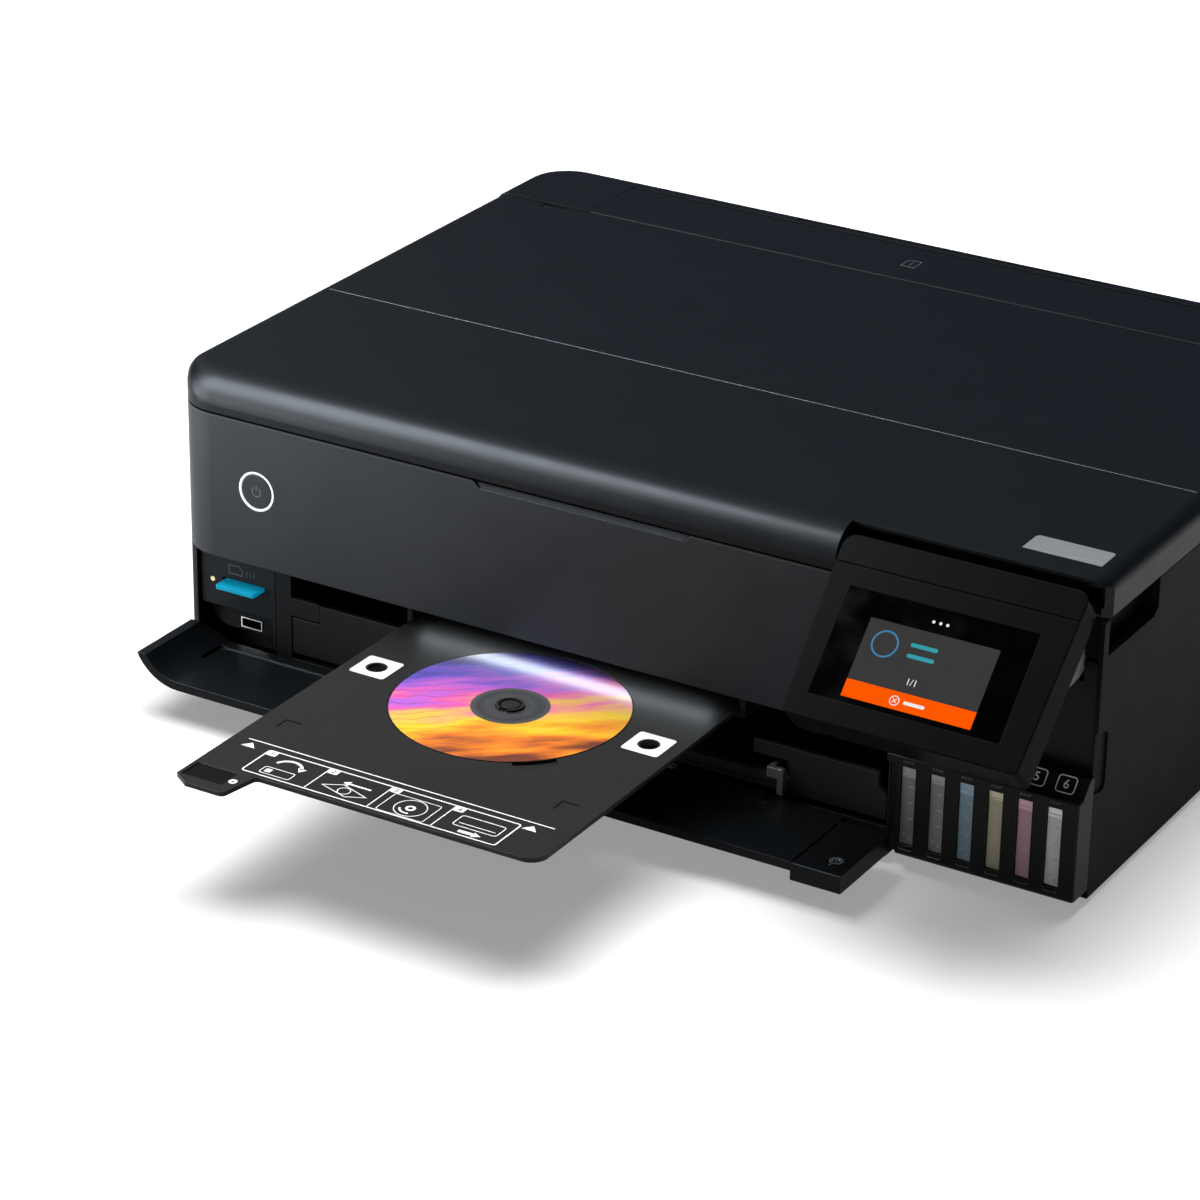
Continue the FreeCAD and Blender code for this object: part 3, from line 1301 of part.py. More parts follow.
def front_door():
    """Drop-down front door: thin panel, its left end curled round the corner, hinge bead behind."""
    top = DOOR_BOTTOM_Z + DOOR_THICKNESS
    inner_curl = DOOR_CURL_RADIUS - DOOR_THICKNESS
    y1 = DOOR_HINGE_Y + 1.0
    curl = prism_y(
        [
            (DOOR_RIGHT_X, DOOR_BOTTOM_Z),
            (DOOR_RIGHT_X, top),
            (DOOR_LEFT_X + DOOR_THICKNESS, top, inner_curl),
            (DOOR_LEFT_X + DOOR_THICKNESS, top + 60),
            (DOOR_LEFT_X, top + 60),
            (DOOR_LEFT_X, DOOR_BOTTOM_Z, DOOR_CURL_RADIUS),
        ],
        DOOR_FREE_Y,
        y1,
    )
    panel = curl.common(block(DOOR_LEFT_X, DOOR_RIGHT_X, DOOR_FREE_Y, y1, 0, DOOR_CURL_TOP_Z))
    corner_cut = prism_x(
        [(DOOR_HINGE_Y - 7.0, DOOR_CURL_TOP_Z + 1), (y1 + 1, DOOR_CURL_TOP_Z + 1), (y1 + 1, top + 2.5)],
        DOOR_LEFT_X - 1,
        DOOR_LEFT_X + DOOR_CURL_RADIUS,
    )
    panel = panel.cut(corner_cut)
    step = block(-232.0, 100.0, DOOR_STEP_Y, DOOR_HINGE_Y - 6, top - DOOR_STEP_DEPTH, top + 1)
    bead = rod("x", DOOR_BEAD_RADIUS, (-236.0, DOOR_HINGE_Y, DOOR_HINGE_Z), DOOR_RIGHT_X + 236.0)
    neck = block(-236.0, DOOR_RIGHT_X, DOOR_HINGE_Y - 3, DOOR_HINGE_Y + 1.0, DOOR_HINGE_Z, top - 1)
    body = fuse(cut(panel, step), bead, neck)
    notches = [
        block(
            x - DOOR_LUG_WIDTH / 2 - RUNNING_GAP,
            x + DOOR_LUG_WIDTH / 2 + RUNNING_GAP,
            DOOR_HINGE_Y - DOOR_BEAD_RADIUS - RUNNING_GAP,
            DOOR_HINGE_Y + 10,
            0,
            top + 1,
        )
        for x in DOOR_LUGS_X
    ]
    pins = [
        rod("x", DOOR_PIN_RADIUS, (x - DOOR_LUG_WIDTH, DOOR_HINGE_Y, DOOR_HINGE_Z), 2 * DOOR_LUG_WIDTH)
        for x in DOOR_LUGS_X
    ]
    return fuse(cut(body, *notches), *pins)


LATCH_STUD_IN_X = 4
LATCH_STUD_IN_Y = 12.6
LATCH_SOCKET_RADIUS = 4.2
LATCH_STUD_RADIUS = 2.8


def door_end_block():
    """Thick end of the door beside the tank housing, with a round latch stud in it."""
    y1 = DOOR_HINGE_Y - DOOR_BEAD_RADIUS
    solid = prism_x(
        [
            (DOOR_FREE_Y, DOOR_BLOCK_BOTTOM_Z, 0.8),
            (y1, DOOR_BLOCK_BOTTOM_Z),
            (y1, DOOR_BLOCK_TOP_Z),
            (DOOR_FREE_Y, DOOR_BLOCK_TOP_Z, 0.8),
        ],
        DOOR_RIGHT_X,
        DOOR_BLOCK_RIGHT_X,
    )
    stud_place = (TANK_LEFT_X - LATCH_STUD_IN_X, DOOR_FREE_Y + LATCH_STUD_IN_Y, DOOR_BLOCK_TOP_Z - 1.2)
    socket = rod("z", LATCH_SOCKET_RADIUS, stud_place, 5)
    stud = rod("z", LATCH_STUD_RADIUS, stud_place, 1.0)
    panel_lip = block(
        DOOR_RIGHT_X, DOOR_RIGHT_X + 1.2, DOOR_FREE_Y + 3, y1 - 3,
        DOOR_BLOCK_TOP_Z - 0.6, DOOR_BLOCK_TOP_Z + 1
    )
    return fuse(cut(solid, socket, panel_lip), stud)


# ---------------------------------------------------------------- tank housing and tanks


def tank_housing():
    """Box at the front right with six window openings and a sloping label ledge on top."""
    ledge_top_y = FRONT_Y + 6.0 + LABEL_STRIP_REACH
    ledge_top_z = TANK_TOP_Z + LABEL_STRIP_RISE
    solid = prism_x(
        [
            (FRONT_Y, TANK_BOTTOM_Z, TANK_ROUND),
            (TANK_BACK_Y, TANK_BOTTOM_Z),
            (TANK_BACK_Y, ledge_top_z),
            (ledge_top_y, ledge_top_z),
            (FRONT_Y + 6.0, TANK_TOP_Z),
            (FRONT_Y, TANK_TOP_Z, 0.8),
        ],
        TANK_LEFT_X,
        RIGHT_X,
    )
    wall = CASE_WALL
    inside = prism_x(
        [
            (FRONT_Y + wall, TANK_BOTTOM_Z + wall),
            (TANK_BACK_Y + 1, TANK_BOTTOM_Z + wall),
            (TANK_BACK_Y + 1, ledge_top_z - wall),
            (ledge_top_y + 0.5, ledge_top_z - wall),
            (FRONT_Y + 6.5, TANK_TOP_Z - wall),
            (FRONT_Y + wall, TANK_TOP_Z - wall),
        ],
        TANK_LEFT_X + 2.0,
        RIGHT_X - wall,
    )
    rebate = block(
        TANK_LEFT_X - 1, TANK_LEFT_X + DOOR_REBATE_WIDTH, FRONT_Y - 1, FRONT_Y + DOOR_REBATE_DEPTH,
        0, TANK_TOP_Z - 4
    )
    rebate_y = FRONT_Y + DOOR_REBATE_DEPTH
    rebate_wall = block(
        TANK_LEFT_X, FIRST_WINDOW_X, rebate_y, rebate_y + 1.5, TANK_BOTTOM_Z + 1, TANK_TOP_Z - 1
    )
    left_wall = block(TANK_LEFT_X, TANK_LEFT_X + 2, rebate_y, TANK_BACK_Y, TANK_BOTTOM_Z + 1, TANK_TOP_Z - 1)
    jamb = block(
        TANK_LEFT_X + DOOR_REBATE_WIDTH, FIRST_WINDOW_X, FRONT_Y + 1, rebate_y + 1,
        TANK_BOTTOM_Z + 3, TANK_TOP_Z - 3
    )
    shelf = block(
        TANK_LEFT_X, RIGHT_X - wall - SEAM_GAP, TANK_BACK_Y, TANK_COVER_FRONT_Y + 4,
        ledge_top_z - wall, ledge_top_z
    )
    windows = []
    for index in range(TANK_COUNT):
        x0 = FIRST_WINDOW_X + index * TANK_PITCH
        windows.append(
            block(
                x0, x0 + WINDOW_WIDTH, FRONT_Y - 1, FRONT_Y + wall + 1,
                WINDOW_BOTTOM_Z, WINDOW_BOTTOM_Z + WINDOW_HEIGHT
            )
        )
    shell = fuse(cut(solid, inside, rebate), rebate_wall, left_wall, jamb, shelf)
    corner = [
        e for e in shell.Edges if is_along(e, "z") and middle_of(e).x > RIGHT_X - 0.1 and middle_of(e).y < FRONT_Y + 1
    ]
    return cut(shell.makeFillet(2.0, corner), *windows)


def tank_x(index):
    """Left side of one tank, centred on its window."""
    return FIRST_WINDOW_X + index * TANK_PITCH + WINDOW_WIDTH / 2 - TANK_WIDTH / 2


TANK_FACE_Y = FRONT_Y + CASE_WALL + SEAM_GAP / 2
TANK_BASE_Z = TANK_BOTTOM_Z + CASE_WALL + 1.0


def filler_prism(x, half, z0, z1):
    """The keyed eight-sided outline of a filler, pushed up between two heights."""
    bevel = half * 0.5
    corners = []
    for across, along in ((1, 1), (-1, 1), (-1, -1), (1, -1)):
        near_side = (x + across * half, FILLER_Y + along * (half - bevel))
        near_end = (x + across * (half - bevel), FILLER_Y + along * half)
        corners += [near_side, near_end] if across * along > 0 else [near_end, near_side]
    return prism_z(corners, z0, z1)


def ink_tanks():
    """Six clear moulded tanks, each with a nose that fills its window and a filler neck."""
    tanks = []
    for index in range(TANK_COUNT):
        x0 = tank_x(index)
        x1 = x0 + TANK_WIDTH
        y1 = TANK_FACE_Y + TANK_DEPTH
        z1 = TANK_BASE_Z + TANK_HEIGHT
        if index == 0:
            x0 += FIRST_TANK_TRIM
        if index == TANK_COUNT - 1:
            x1 -= LAST_TANK_TRIM
        body = block(x0, x1, TANK_FACE_Y, y1, TANK_BASE_Z, z1)
        nose = block(
            FIRST_WINDOW_X + index * TANK_PITCH + 0.2,
            FIRST_WINDOW_X + index * TANK_PITCH + WINDOW_WIDTH - 0.2,
            TANK_FACE_Y - TANK_NOSE,
            TANK_FACE_Y + 1,
            WINDOW_BOTTOM_Z + 0.2,
            WINDOW_BOTTOM_Z + WINDOW_HEIGHT - 0.2,
        )
        hollow = block(
            x0 + TANK_WALL, x1 - TANK_WALL, TANK_FACE_Y + TANK_WALL, y1 - TANK_WALL,
            TANK_BASE_Z + TANK_WALL, z1 - TANK_WALL
        )
        neck = filler_prism((x0 + x1) / 2, FILLER_HALF, z1 - 0.5, z1 + FILLER_HEIGHT)
        tanks.append(cut(fuse(body, nose, neck), hollow))
    return group(tanks)


FILLER_Y = TANK_FACE_Y + 42.0


def filler_caps():
    """Rubber caps on the six filler necks."""
    caps = []
    z0 = TANK_BASE_Z + TANK_HEIGHT
    for index in range(TANK_COUNT):
        x0 = tank_x(index) + (FIRST_TANK_TRIM if index == 0 else 0.0)
        x1 = tank_x(index) + TANK_WIDTH - (LAST_TANK_TRIM if index == TANK_COUNT - 1 else 0.0)
        x = (x0 + x1) / 2
        caps.append(
            filler_prism(x, FILLER_HALF + 1.0, z0 + FILLER_HEIGHT, z0 + FILLER_HEIGHT + FILLER_CAP_HEIGHT)
        )
    return group(caps)


def tank_cover():
    """Cover over the tanks behind the control panel, with the arms that carry the panel's pin."""
    x0, x1 = FASCIA_RIGHT_X + SEAM_GAP, RIGHT_X - CASE_WALL - SEAM_GAP
    y0 = TANK_COVER_FRONT_Y
    y1 = FILLER_Y + 16
    z0 = TANK_TOP_Z + LABEL_STRIP_RISE
    roof_z = SCANNER_BOTTOM_Z - 3
    outer = block(x0, x1, y0, y1, z0, roof_z)
    inner = block(x0 + 2, x1 - 2, y0 + 2, y1 + 1, z0 - 1, roof_z - 2)
    front = block(x0, QUADRANT_X, y0, y0 + 2, z0, BODY_TOP_Z - 1)
    arms = []
    tilt = math.radians(PANEL_TILT)
    back = (math.sin(math.pi / 2 - tilt), -math.cos(math.pi / 2 - tilt))
    half = (PANEL_ARM_HALF * math.sin(tilt), PANEL_ARM_HALF * math.cos(tilt))
    root = (PANEL_HINGE_Y + 19.5 * back[0], PANEL_HINGE_Z + 19.5 * back[1])
    for side in (-1, 1):
        low = PANEL_CENTRE_X + side * PANEL_ARM_X - PANEL_ARM_WIDTH / 2
        arm = prism_x(
            [
                (PANEL_HINGE_Y + half[0], PANEL_HINGE_Z + half[1]),
                (PANEL_HINGE_Y - half[0], PANEL_HINGE_Z - half[1]),
                (root[0] - half[0], root[1] - half[1]),
                (root[0] + half[0], root[1] + half[1]),
            ],
            low,
            low + PANEL_ARM_WIDTH,
        )
        eye = rod("x", PANEL_ARM_HALF, (low, PANEL_HINGE_Y, PANEL_HINGE_Z), PANEL_ARM_WIDTH)
        arms.append(fuse(arm, eye))
    slot_half = QUADRANT_WIDTH / 2 + 0.6
    quadrant_slot = block(
        QUADRANT_X - slot_half, QUADRANT_X + slot_half, y0 - 1, y1 + 2,
        PANEL_HINGE_Z - QUADRANT_OUTER - 3, BODY_TOP_Z
    )
    body = cut(fuse(outer.cut(inner), front), quadrant_slot)
    bore = rod("x", PANEL_ARM_PIN + PIN_PLAY, (x0, PANEL_HINGE_Y, PANEL_HINGE_Z), x1 - x0)
    return cut(fuse(body, *arms), bore)


# ---------------------------------------------------------------- control panel

PANEL_FRONT_Y = FRONT_Y
PANEL_CLOSED_TOP_Z = PANEL_HINGE_Z + PANEL_ABOVE_HINGE
PANEL_CLOSED_BOTTOM_Z = PANEL_CLOSED_TOP_Z - PANEL_LENGTH


def tilted(shape):
    """A control panel piece modelled closed, turned out to its angle at rest."""
    return turned(shape, -PANEL_TILT, PANEL_HINGE_Y, PANEL_HINGE_Z)


def panel_plan(inset, y0, y1):
    """The control panel's tapered front outline, pushed back through its thickness."""
    top_half = PANEL_TOP_WIDTH / 2 - inset
    bottom_half = PANEL_BOTTOM_WIDTH / 2 - inset
    corner = max(PANEL_CORNER - inset, 0.5)
    low_corner = max(3.0 - inset, 0.5)
    return prism_y(
        [
            (PANEL_CENTRE_X - bottom_half, PANEL_CLOSED_BOTTOM_Z + inset, low_corner),
            (PANEL_CENTRE_X + bottom_half, PANEL_CLOSED_BOTTOM_Z + inset, low_corner),
            (PANEL_CENTRE_X + top_half, PANEL_CLOSED_TOP_Z - inset, corner),
            (PANEL_CENTRE_X - top_half, PANEL_CLOSED_TOP_Z - inset, corner),
        ],
        y0,
        y1,
    )


def screen_opening(play, y0, y1):
    """The screen's rectangle in the panel's front, grown by some play."""
    z1 = PANEL_CLOSED_TOP_Z - SCREEN_DOWN
    half = SCREEN_WIDTH / 2 + play
    return block(SCREEN_CENTRE_X - half, SCREEN_CENTRE_X + half, y0, y1, z1 - SCREEN_HEIGHT - play, z1 + play)


def panel_depth(inset):
    """Space in front of the panel's back, which comes forward towards the hinge."""
    back = PANEL_FRONT_Y + PANEL_THICKNESS - inset
    low = PANEL_CLOSED_TOP_Z - PANEL_LENGTH
    knee = PANEL_HINGE_Z - PANEL_KNEE_DOWN
    top = PANEL_CLOSED_TOP_Z
    return prism_x(
        [
            (PANEL_FRONT_Y - 1, low - 1),
            (back, low - 1),
            (back - PANEL_TAPER, knee),
            (back - PANEL_TAPER - PANEL_TOP_RELIEF, top),
            (PANEL_FRONT_Y - 1, top),
        ],
        0,
        RIGHT_X + PANEL_THICKNESS,
    )


def control_panel():
    """Front moulding of the control panel: a deep tapered tray, open at the back."""
    outer = panel_plan(0, PANEL_FRONT_Y, PANEL_FRONT_Y + PANEL_THICKNESS).common(panel_depth(0))
    front_edges = [e for e in outer.Edges if abs(middle_of(e).y - PANEL_FRONT_Y) < 0.01]
    outer = outer.makeChamfer(0.7, front_edges)
    inner = panel_plan(PANEL_WALL, PANEL_FRONT_Y + PANEL_WALL, PANEL_FRONT_Y + PANEL_THICKNESS + 1)
    seat = screen_opening(PIN_PLAY, PANEL_FRONT_Y - 1, PANEL_FRONT_Y + SCREEN_THICKNESS)
    seam_z = PANEL_CLOSED_TOP_Z - PANEL_SEAM_DOWN
    seam = block(0, RIGHT_X, PANEL_FRONT_Y - 1, PANEL_FRONT_Y + 0.5, seam_z - 0.35, seam_z + 0.35)
    bosses = []
    for side in (-1, 1):
        x = PANEL_CENTRE_X + side * (PANEL_ARM_X - PANEL_WEB_INSET)
        web = block(
            x - 1.5, x + 1.5, PANEL_FRONT_Y + 1, PANEL_HINGE_Y + 4, PANEL_HINGE_Z - 5, PANEL_CLOSED_TOP_Z - 1
        )
        bosses.append(web)
    shell = fuse(cut(outer, inner, seat, seam), *bosses)
    pin_length = PANEL_TOP_WIDTH - 2 * PANEL_WALL
    pin = rod("x", PANEL_ARM_PIN, (PANEL_CENTRE_X - pin_length / 2, PANEL_HINGE_Y, PANEL_HINGE_Z), pin_length)
    return tilted(fuse(shell, pin))


def panel_back():
    """Back cover of the control panel, below its hinge, with the toothless stay quadrant."""
    y1 = PANEL_FRONT_Y + PANEL_THICKNESS
    plate = panel_plan(PANEL_WALL + 0.15, PANEL_FRONT_Y, y1)
    plate = plate.common(block(0, RIGHT_X, PANEL_FRONT_Y, y1, 0, PANEL_HINGE_Z - 20))
    plate = plate.common(panel_depth(0)).cut(panel_depth(PANEL_BACK_THICKNESS))
    quadrant = rod(
        "x", QUADRANT_OUTER,
        (QUADRANT_X - QUADRANT_WIDTH / 2, PANEL_HINGE_Y, PANEL_HINGE_Z),
        QUADRANT_WIDTH
    )
    hollow = rod(
        "x", QUADRANT_INNER,
        (QUADRANT_X - QUADRANT_WIDTH, PANEL_HINGE_Y, PANEL_HINGE_Z),
        2 * QUADRANT_WIDTH
    )
    reach = 60.0
    below = math.radians(-90.0)
    sweep = math.radians(QUADRANT_SWEEP)
    wedge = prism_x(
        [
            (y1 - 4.0, PANEL_HINGE_Z),
            (y1 - 4.0, PANEL_HINGE_Z - reach),
            (
                PANEL_HINGE_Y + reach * math.cos(below + sweep + 0.3),
                PANEL_HINGE_Z + reach * math.sin(below + sweep + 0.3)
            ),
        ],
        QUADRANT_X - QUADRANT_WIDTH,
        QUADRANT_X + QUADRANT_WIDTH,
    )
    arm = quadrant.cut(hollow).common(wedge)
    return tilted(fuse(plate, arm))


def panel_glass():
    """Black touch glass set into the control panel's front."""
    y0 = PANEL_FRONT_Y + 0.2
    return tilted(screen_opening(0, y0, PANEL_FRONT_Y + SCREEN_THICKNESS))


# ---------------------------------------------------------------- lid and scanner


def lid_plan(side, front, corner, z0, z1):
    """The lid's plan outline, set in by its own amounts at the sides and the front."""
    return prism_z(
        [
            (LEFT_X + side, FRONT_Y + front, corner),
            (RIGHT_X - side, FRONT_Y + front, corner),
            (RIGHT_X - side, LID_REAR_Y),
            (LEFT_X + side, LID_REAR_Y),
        ],
        z0,
        z1,
    )


def lid_form():
    """The lid's outer form: a wide round along the front that runs out into tighter sides."""
    plan = lid_plan(0, 0, CORNER_RADIUS, LID_BOTTOM_Z, BODY_HEIGHT)

    def on_top(edge):
        return middle_of(edge).z > BODY_HEIGHT - 0.01

    def is_corner(edge):
        return on_top(edge) and not is_along(edge, "x") and not is_along(edge, "y")

    def starts_at_side(edge):
        return edge.firstVertex().Point.y > edge.lastVertex().Point.y

    side, front = LID_SIDE_ROUND, LID_FRONT_ROUND
    return rounded(
        plan,
        [
            (lambda e: on_top(e) and is_along(e, "x") and middle_of(e).y < 0, front, front),
            (lambda e: on_top(e) and is_along(e, "y"), side, side),
            (lambda e: is_corner(e) and starts_at_side(e), side, front),
            (lambda e: is_corner(e) and not starts_at_side(e), front, side),
        ],
    )


def hinge_leaf(inner_x, arm):
    """A pair of hinge knuckles, one each side, on the common top hinge line."""
    leaves = []
    for side in (-1, 1):
        x0 = side * inner_x
        x1 = x0 + side * TOP_HINGE_LEAF
        low = min(x0, x1)
        eye = rod("x", TOP_HINGE_KNUCKLE, (low, TOP_HINGE_Y, TOP_HINGE_Z), TOP_HINGE_LEAF)
        leaves.append(fuse(eye, arm(low)))
    return leaves


def lid_cover():
    """Document lid: one moulded shell with a deep front round, a groove and the panel's notch."""
    form = lid_form()
    skirt_hollow = lid_plan(LID_WALL, LID_WALL, CORNER_RADIUS - LID_WALL, LID_BOTTOM_Z, LID_RIM_Z)
    top_hollow = lid_plan(
        LID_RIM_SIDE, LID_RIM_FRONT, CORNER_RADIUS - LID_RIM_SIDE, LID_RIM_Z - 1, BODY_HEIGHT - LID_WALL
    )
    panel_relief = block(
        FASCIA_RIGHT_X, RIGHT_X - LID_WALL, LID_NOTCH_Y - 1, LID_NOTCH_Y + 7,
        LID_BOTTOM_Z, PANEL_CLOSED_TOP_Z + 2
    )
    shell = cut(form, skirt_hollow, top_hollow, panel_relief)
    notch = prism_z(
        [
            (FASCIA_RIGHT_X, FRONT_Y - 1),
            (RIGHT_X + 1, FRONT_Y - 1),
            (RIGHT_X + 1, LID_NOTCH_Y + LID_NOTCH_CORNER),
            (RIGHT_X, LID_NOTCH_Y + LID_NOTCH_CORNER),
            (RIGHT_X - LID_NOTCH_CORNER * 0.3, LID_NOTCH_Y + LID_NOTCH_CORNER * 0.3),
            (RIGHT_X - LID_NOTCH_CORNER, LID_NOTCH_Y),
            (FASCIA_RIGHT_X, LID_NOTCH_Y),
        ],
        LID_BOTTOM_Z - 1,
        BODY_HEIGHT + 1,
    )
    side_return = block(
        FASCIA_RIGHT_X - LID_WALL, FASCIA_RIGHT_X, FRONT_Y, LID_NOTCH_Y, LID_BOTTOM_Z, BODY_HEIGHT - 1
    ).common(form)
    groove = block(
        LEFT_X - 1,
        RIGHT_X + 1,
        LID_GROOVE_Y - LID_GROOVE_WIDTH / 2,
        LID_GROOVE_Y + LID_GROOVE_WIDTH / 2,
        BODY_HEIGHT - LID_GROOVE_DEPTH,
        BODY_HEIGHT + 1,
    )
    shell = cut(fuse(shell, side_return), notch, groove)
    rear_edge = [
        e for e in shell.Edges
        if is_along(e, "x") and middle_of(e).y > LID_REAR_Y - 0.1 and middle_of(e).z > BODY_HEIGHT - 0.1
    ]
    shell = shell.makeFillet(1.8, rear_edge)
    clear = TOP_HINGE_KNUCKLE + RUNNING_GAP
    pockets = []
    for side in (-1, 1):
        x0 = side * (TOP_HINGE_X + TOP_HINGE_LEAF)
        x1 = x0 + side * (2 * TOP_HINGE_LEAF + 3 * RUNNING_GAP)
        pockets.append(
            block(
                min(x0, x1), max(x0, x1), TOP_HINGE_Y - clear, LID_REAR_Y + 1,
                LID_BOTTOM_Z, BODY_HEIGHT + 1
            )
        )
    knuckles = hinge_leaf(
        TOP_HINGE_X,
        lambda low: block(
            low, low + TOP_HINGE_LEAF, TOP_HINGE_Y - 6, TOP_HINGE_Y,
            TOP_HINGE_Z - 0.5, BODY_HEIGHT - LID_WALL + 0.5
        ),
    )
    bore = rod("x", TOP_HINGE_PIN + PIN_PLAY, (LEFT_X + 20, TOP_HINGE_Y, TOP_HINGE_Z), BODY_WIDTH - 40)
    rib_end = RIGHT_X - LID_RIB_INSET
    rib = block(
        -rib_end, rib_end, LID_RIB_Y - 0.9, LID_RIB_Y + 0.9,
        BODY_HEIGHT - LID_WALL - 1.5, BODY_HEIGHT - 1
    )
    return cut(fuse(cut(shell, *pockets), *knuckles, rib), bore)


def lid_pad():
    """White foam pad under the lid that presses the paper on the glass."""
    half_x = GLASS_WIDTH / 2 - 2
    half_y = GLASS_DEPTH / 2 - 2
    return prism_z(
        [
            (GLASS_CENTRE_X - half_x, GLASS_CENTRE_Y - half_y, 4.0),
            (GLASS_CENTRE_X + half_x, GLASS_CENTRE_Y - half_y, 4.0),
            (GLASS_CENTRE_X + half_x, GLASS_CENTRE_Y + half_y, 4.0),
            (GLASS_CENTRE_X - half_x, GLASS_CENTRE_Y + half_y, 4.0),
        ],
        SCANNER_TOP_Z + LID_PAD_GAP,
        BODY_HEIGHT - LID_WALL,
    )


def glass_opening(inset, z0, z1):
    """The scanner glass outline, set in by an amount."""
    half_x = GLASS_WIDTH / 2 - inset
    half_y = GLASS_DEPTH / 2 - inset
    return block(
        GLASS_CENTRE_X - half_x, GLASS_CENTRE_X + half_x, GLASS_CENTRE_Y - half_y, GLASS_CENTRE_Y + half_y,
        z0, z1
    )


def scanner_bed():
    """Scanner housing that nests in the body, with a flange on the case and two hinge arms."""
    tub = block(
        -SCANNER_HALF_WIDTH, SCANNER_HALF_WIDTH, SCANNER_FRONT_Y, SCANNER_REAR_Y,
        SCANNER_BOTTOM_Z, SCANNER_TOP_Z
    )
    flange_low = BODY_TOP_Z + 0.3
    flange_high = BODY_TOP_Z + 3.3
    edges = [
        (-SCANNER_FLANGE_HALF_WIDTH, -SCANNER_HALF_WIDTH, SCANNER_FLANGE_FRONT_Y, SCANNER_REAR_Y),
        (SCANNER_HALF_WIDTH, SCANNER_FLANGE_HALF_WIDTH, SCANNER_FLANGE_FRONT_Y, SCANNER_REAR_Y),
        (-SCANNER_HALF_WIDTH, SCANNER_HALF_WIDTH, SCANNER_FLANGE_FRONT_Y, SCANNER_FRONT_Y),
    ]
    flanges = [block(x0, x1, y0, y1, flange_low, flange_high) for x0, x1, y0, y1 in edges]
    inside = block(
        -SCANNER_HALF_WIDTH + SCANNER_WALL,
        SCANNER_HALF_WIDTH - SCANNER_WALL,
        SCANNER_FRONT_Y + SCANNER_WALL,
        SCANNER_REAR_Y - SCANNER_WALL,
        SCANNER_BOTTOM_Z + SCANNER_WALL,
        SCANNER_TOP_Z - SCANNER_WALL,
    )
    seat = glass_opening(-PIN_PLAY, SCANNER_TOP_Z - SCANNER_WALL + 0.5, SCANNER_TOP_Z + 1)
    window = glass_opening(4, SCANNER_TOP_Z - SCANNER_WALL - 1, SCANNER_TOP_Z + 1)
    rails = [
        block(-238, 110, y - 2, y + 2, SCANNER_BOTTOM_Z + SCANNER_WALL, SCANNER_BOTTOM_Z + SCANNER_WALL + 3)
        for y in (GLASS_CENTRE_Y - 90, GLASS_CENTRE_Y + 90)
    ]
    arms = hinge_leaf(
        TOP_HINGE_X + TOP_HINGE_LEAF + RUNNING_GAP,
        lambda low: prism_x(
            [
                (SCANNER_REAR_Y - 1, SCANNER_TOP_Z - 5),
                (TOP_HINGE_Y, TOP_HINGE_Z - TOP_HINGE_KNUCKLE),
                (TOP_HINGE_Y - 2.0, TOP_HINGE_Z),
                (SCANNER_REAR_Y - 1, SCANNER_TOP_Z),
            ],
            low,
            low + TOP_HINGE_LEAF,
        ),
    )
    bore = rod("x", TOP_HINGE_PIN + PIN_PLAY, (LEFT_X + 20, TOP_HINGE_Y, TOP_HINGE_Z), BODY_WIDTH - 40)
    body = cut(tub, inside, window, seat)
    return group([cut(fuse(body, *rails, *arms), bore), *flanges])


def scanner_glass():
    """Flatbed glass, seated in the scanner housing."""
    return glass_opening(0, SCANNER_TOP_Z - SCANNER_WALL + 0.5, SCANNER_TOP_Z)


def scan_bar():
    """Contact image sensor bar under the glass, with its rod lens strip on top."""
    half_y = GLASS_DEPTH / 2 - 3
    z0 = SCANNER_BOTTOM_Z + SCANNER_WALL + 3 + RUNNING_GAP
    z1 = SCANNER_TOP_Z - SCANNER_WALL - 1.5
    x0 = SCAN_BAR_X - SCAN_BAR_WIDTH / 2
    body = block(
        x0, x0 + SCAN_BAR_WIDTH, GLASS_CENTRE_Y - half_y, GLASS_CENTRE_Y + half_y,
        z1 - SCAN_BAR_HEIGHT, z1
    )
    lens = block(
        SCAN_BAR_X - 2, SCAN_BAR_X + 2, GLASS_CENTRE_Y - half_y + 6, GLASS_CENTRE_Y + half_y - 6,
        z1 - 1, z1 + 0.8
    )
    shoes = [
        block(x0 + 4, x0 + SCAN_BAR_WIDTH - 4, y - 4, y + 4, z0, z1 - SCAN_BAR_HEIGHT + 1)
        for y in (GLASS_CENTRE_Y - 90, GLASS_CENTRE_Y + 90)
    ]
    return fuse(body, lens, *shoes)


def top_hinge_pins():
    """Two steel pins, each in a fixed eye on the deck's front wall, that carry the lid and the scanner."""
    length = 3 * TOP_HINGE_LEAF + 2 * RUNNING_GAP
    pins = []
    for side in (-1, 1):
        x0 = side * TOP_HINGE_X
        x1 = x0 + side * length
        pin = rod("x", TOP_HINGE_PIN, (min(x0, x1), TOP_HINGE_Y, TOP_HINGE_Z), length)
        eye_x = min(x1, x1 - side * TOP_HINGE_LEAF)
        eye = rod("x", TOP_HINGE_KNUCKLE, (eye_x, TOP_HINGE_Y, TOP_HINGE_Z), TOP_HINGE_LEAF)
        arm = block(
            eye_x, eye_x + TOP_HINGE_LEAF, TOP_HINGE_Y, DECK_FRONT_Y,
            TOP_HINGE_Z - TOP_HINGE_KNUCKLE, TOP_HINGE_Z
        )
        pins.append(fuse(pin, eye, arm))
    return group(pins)


# ---------------------------------------------------------------- print mechanism

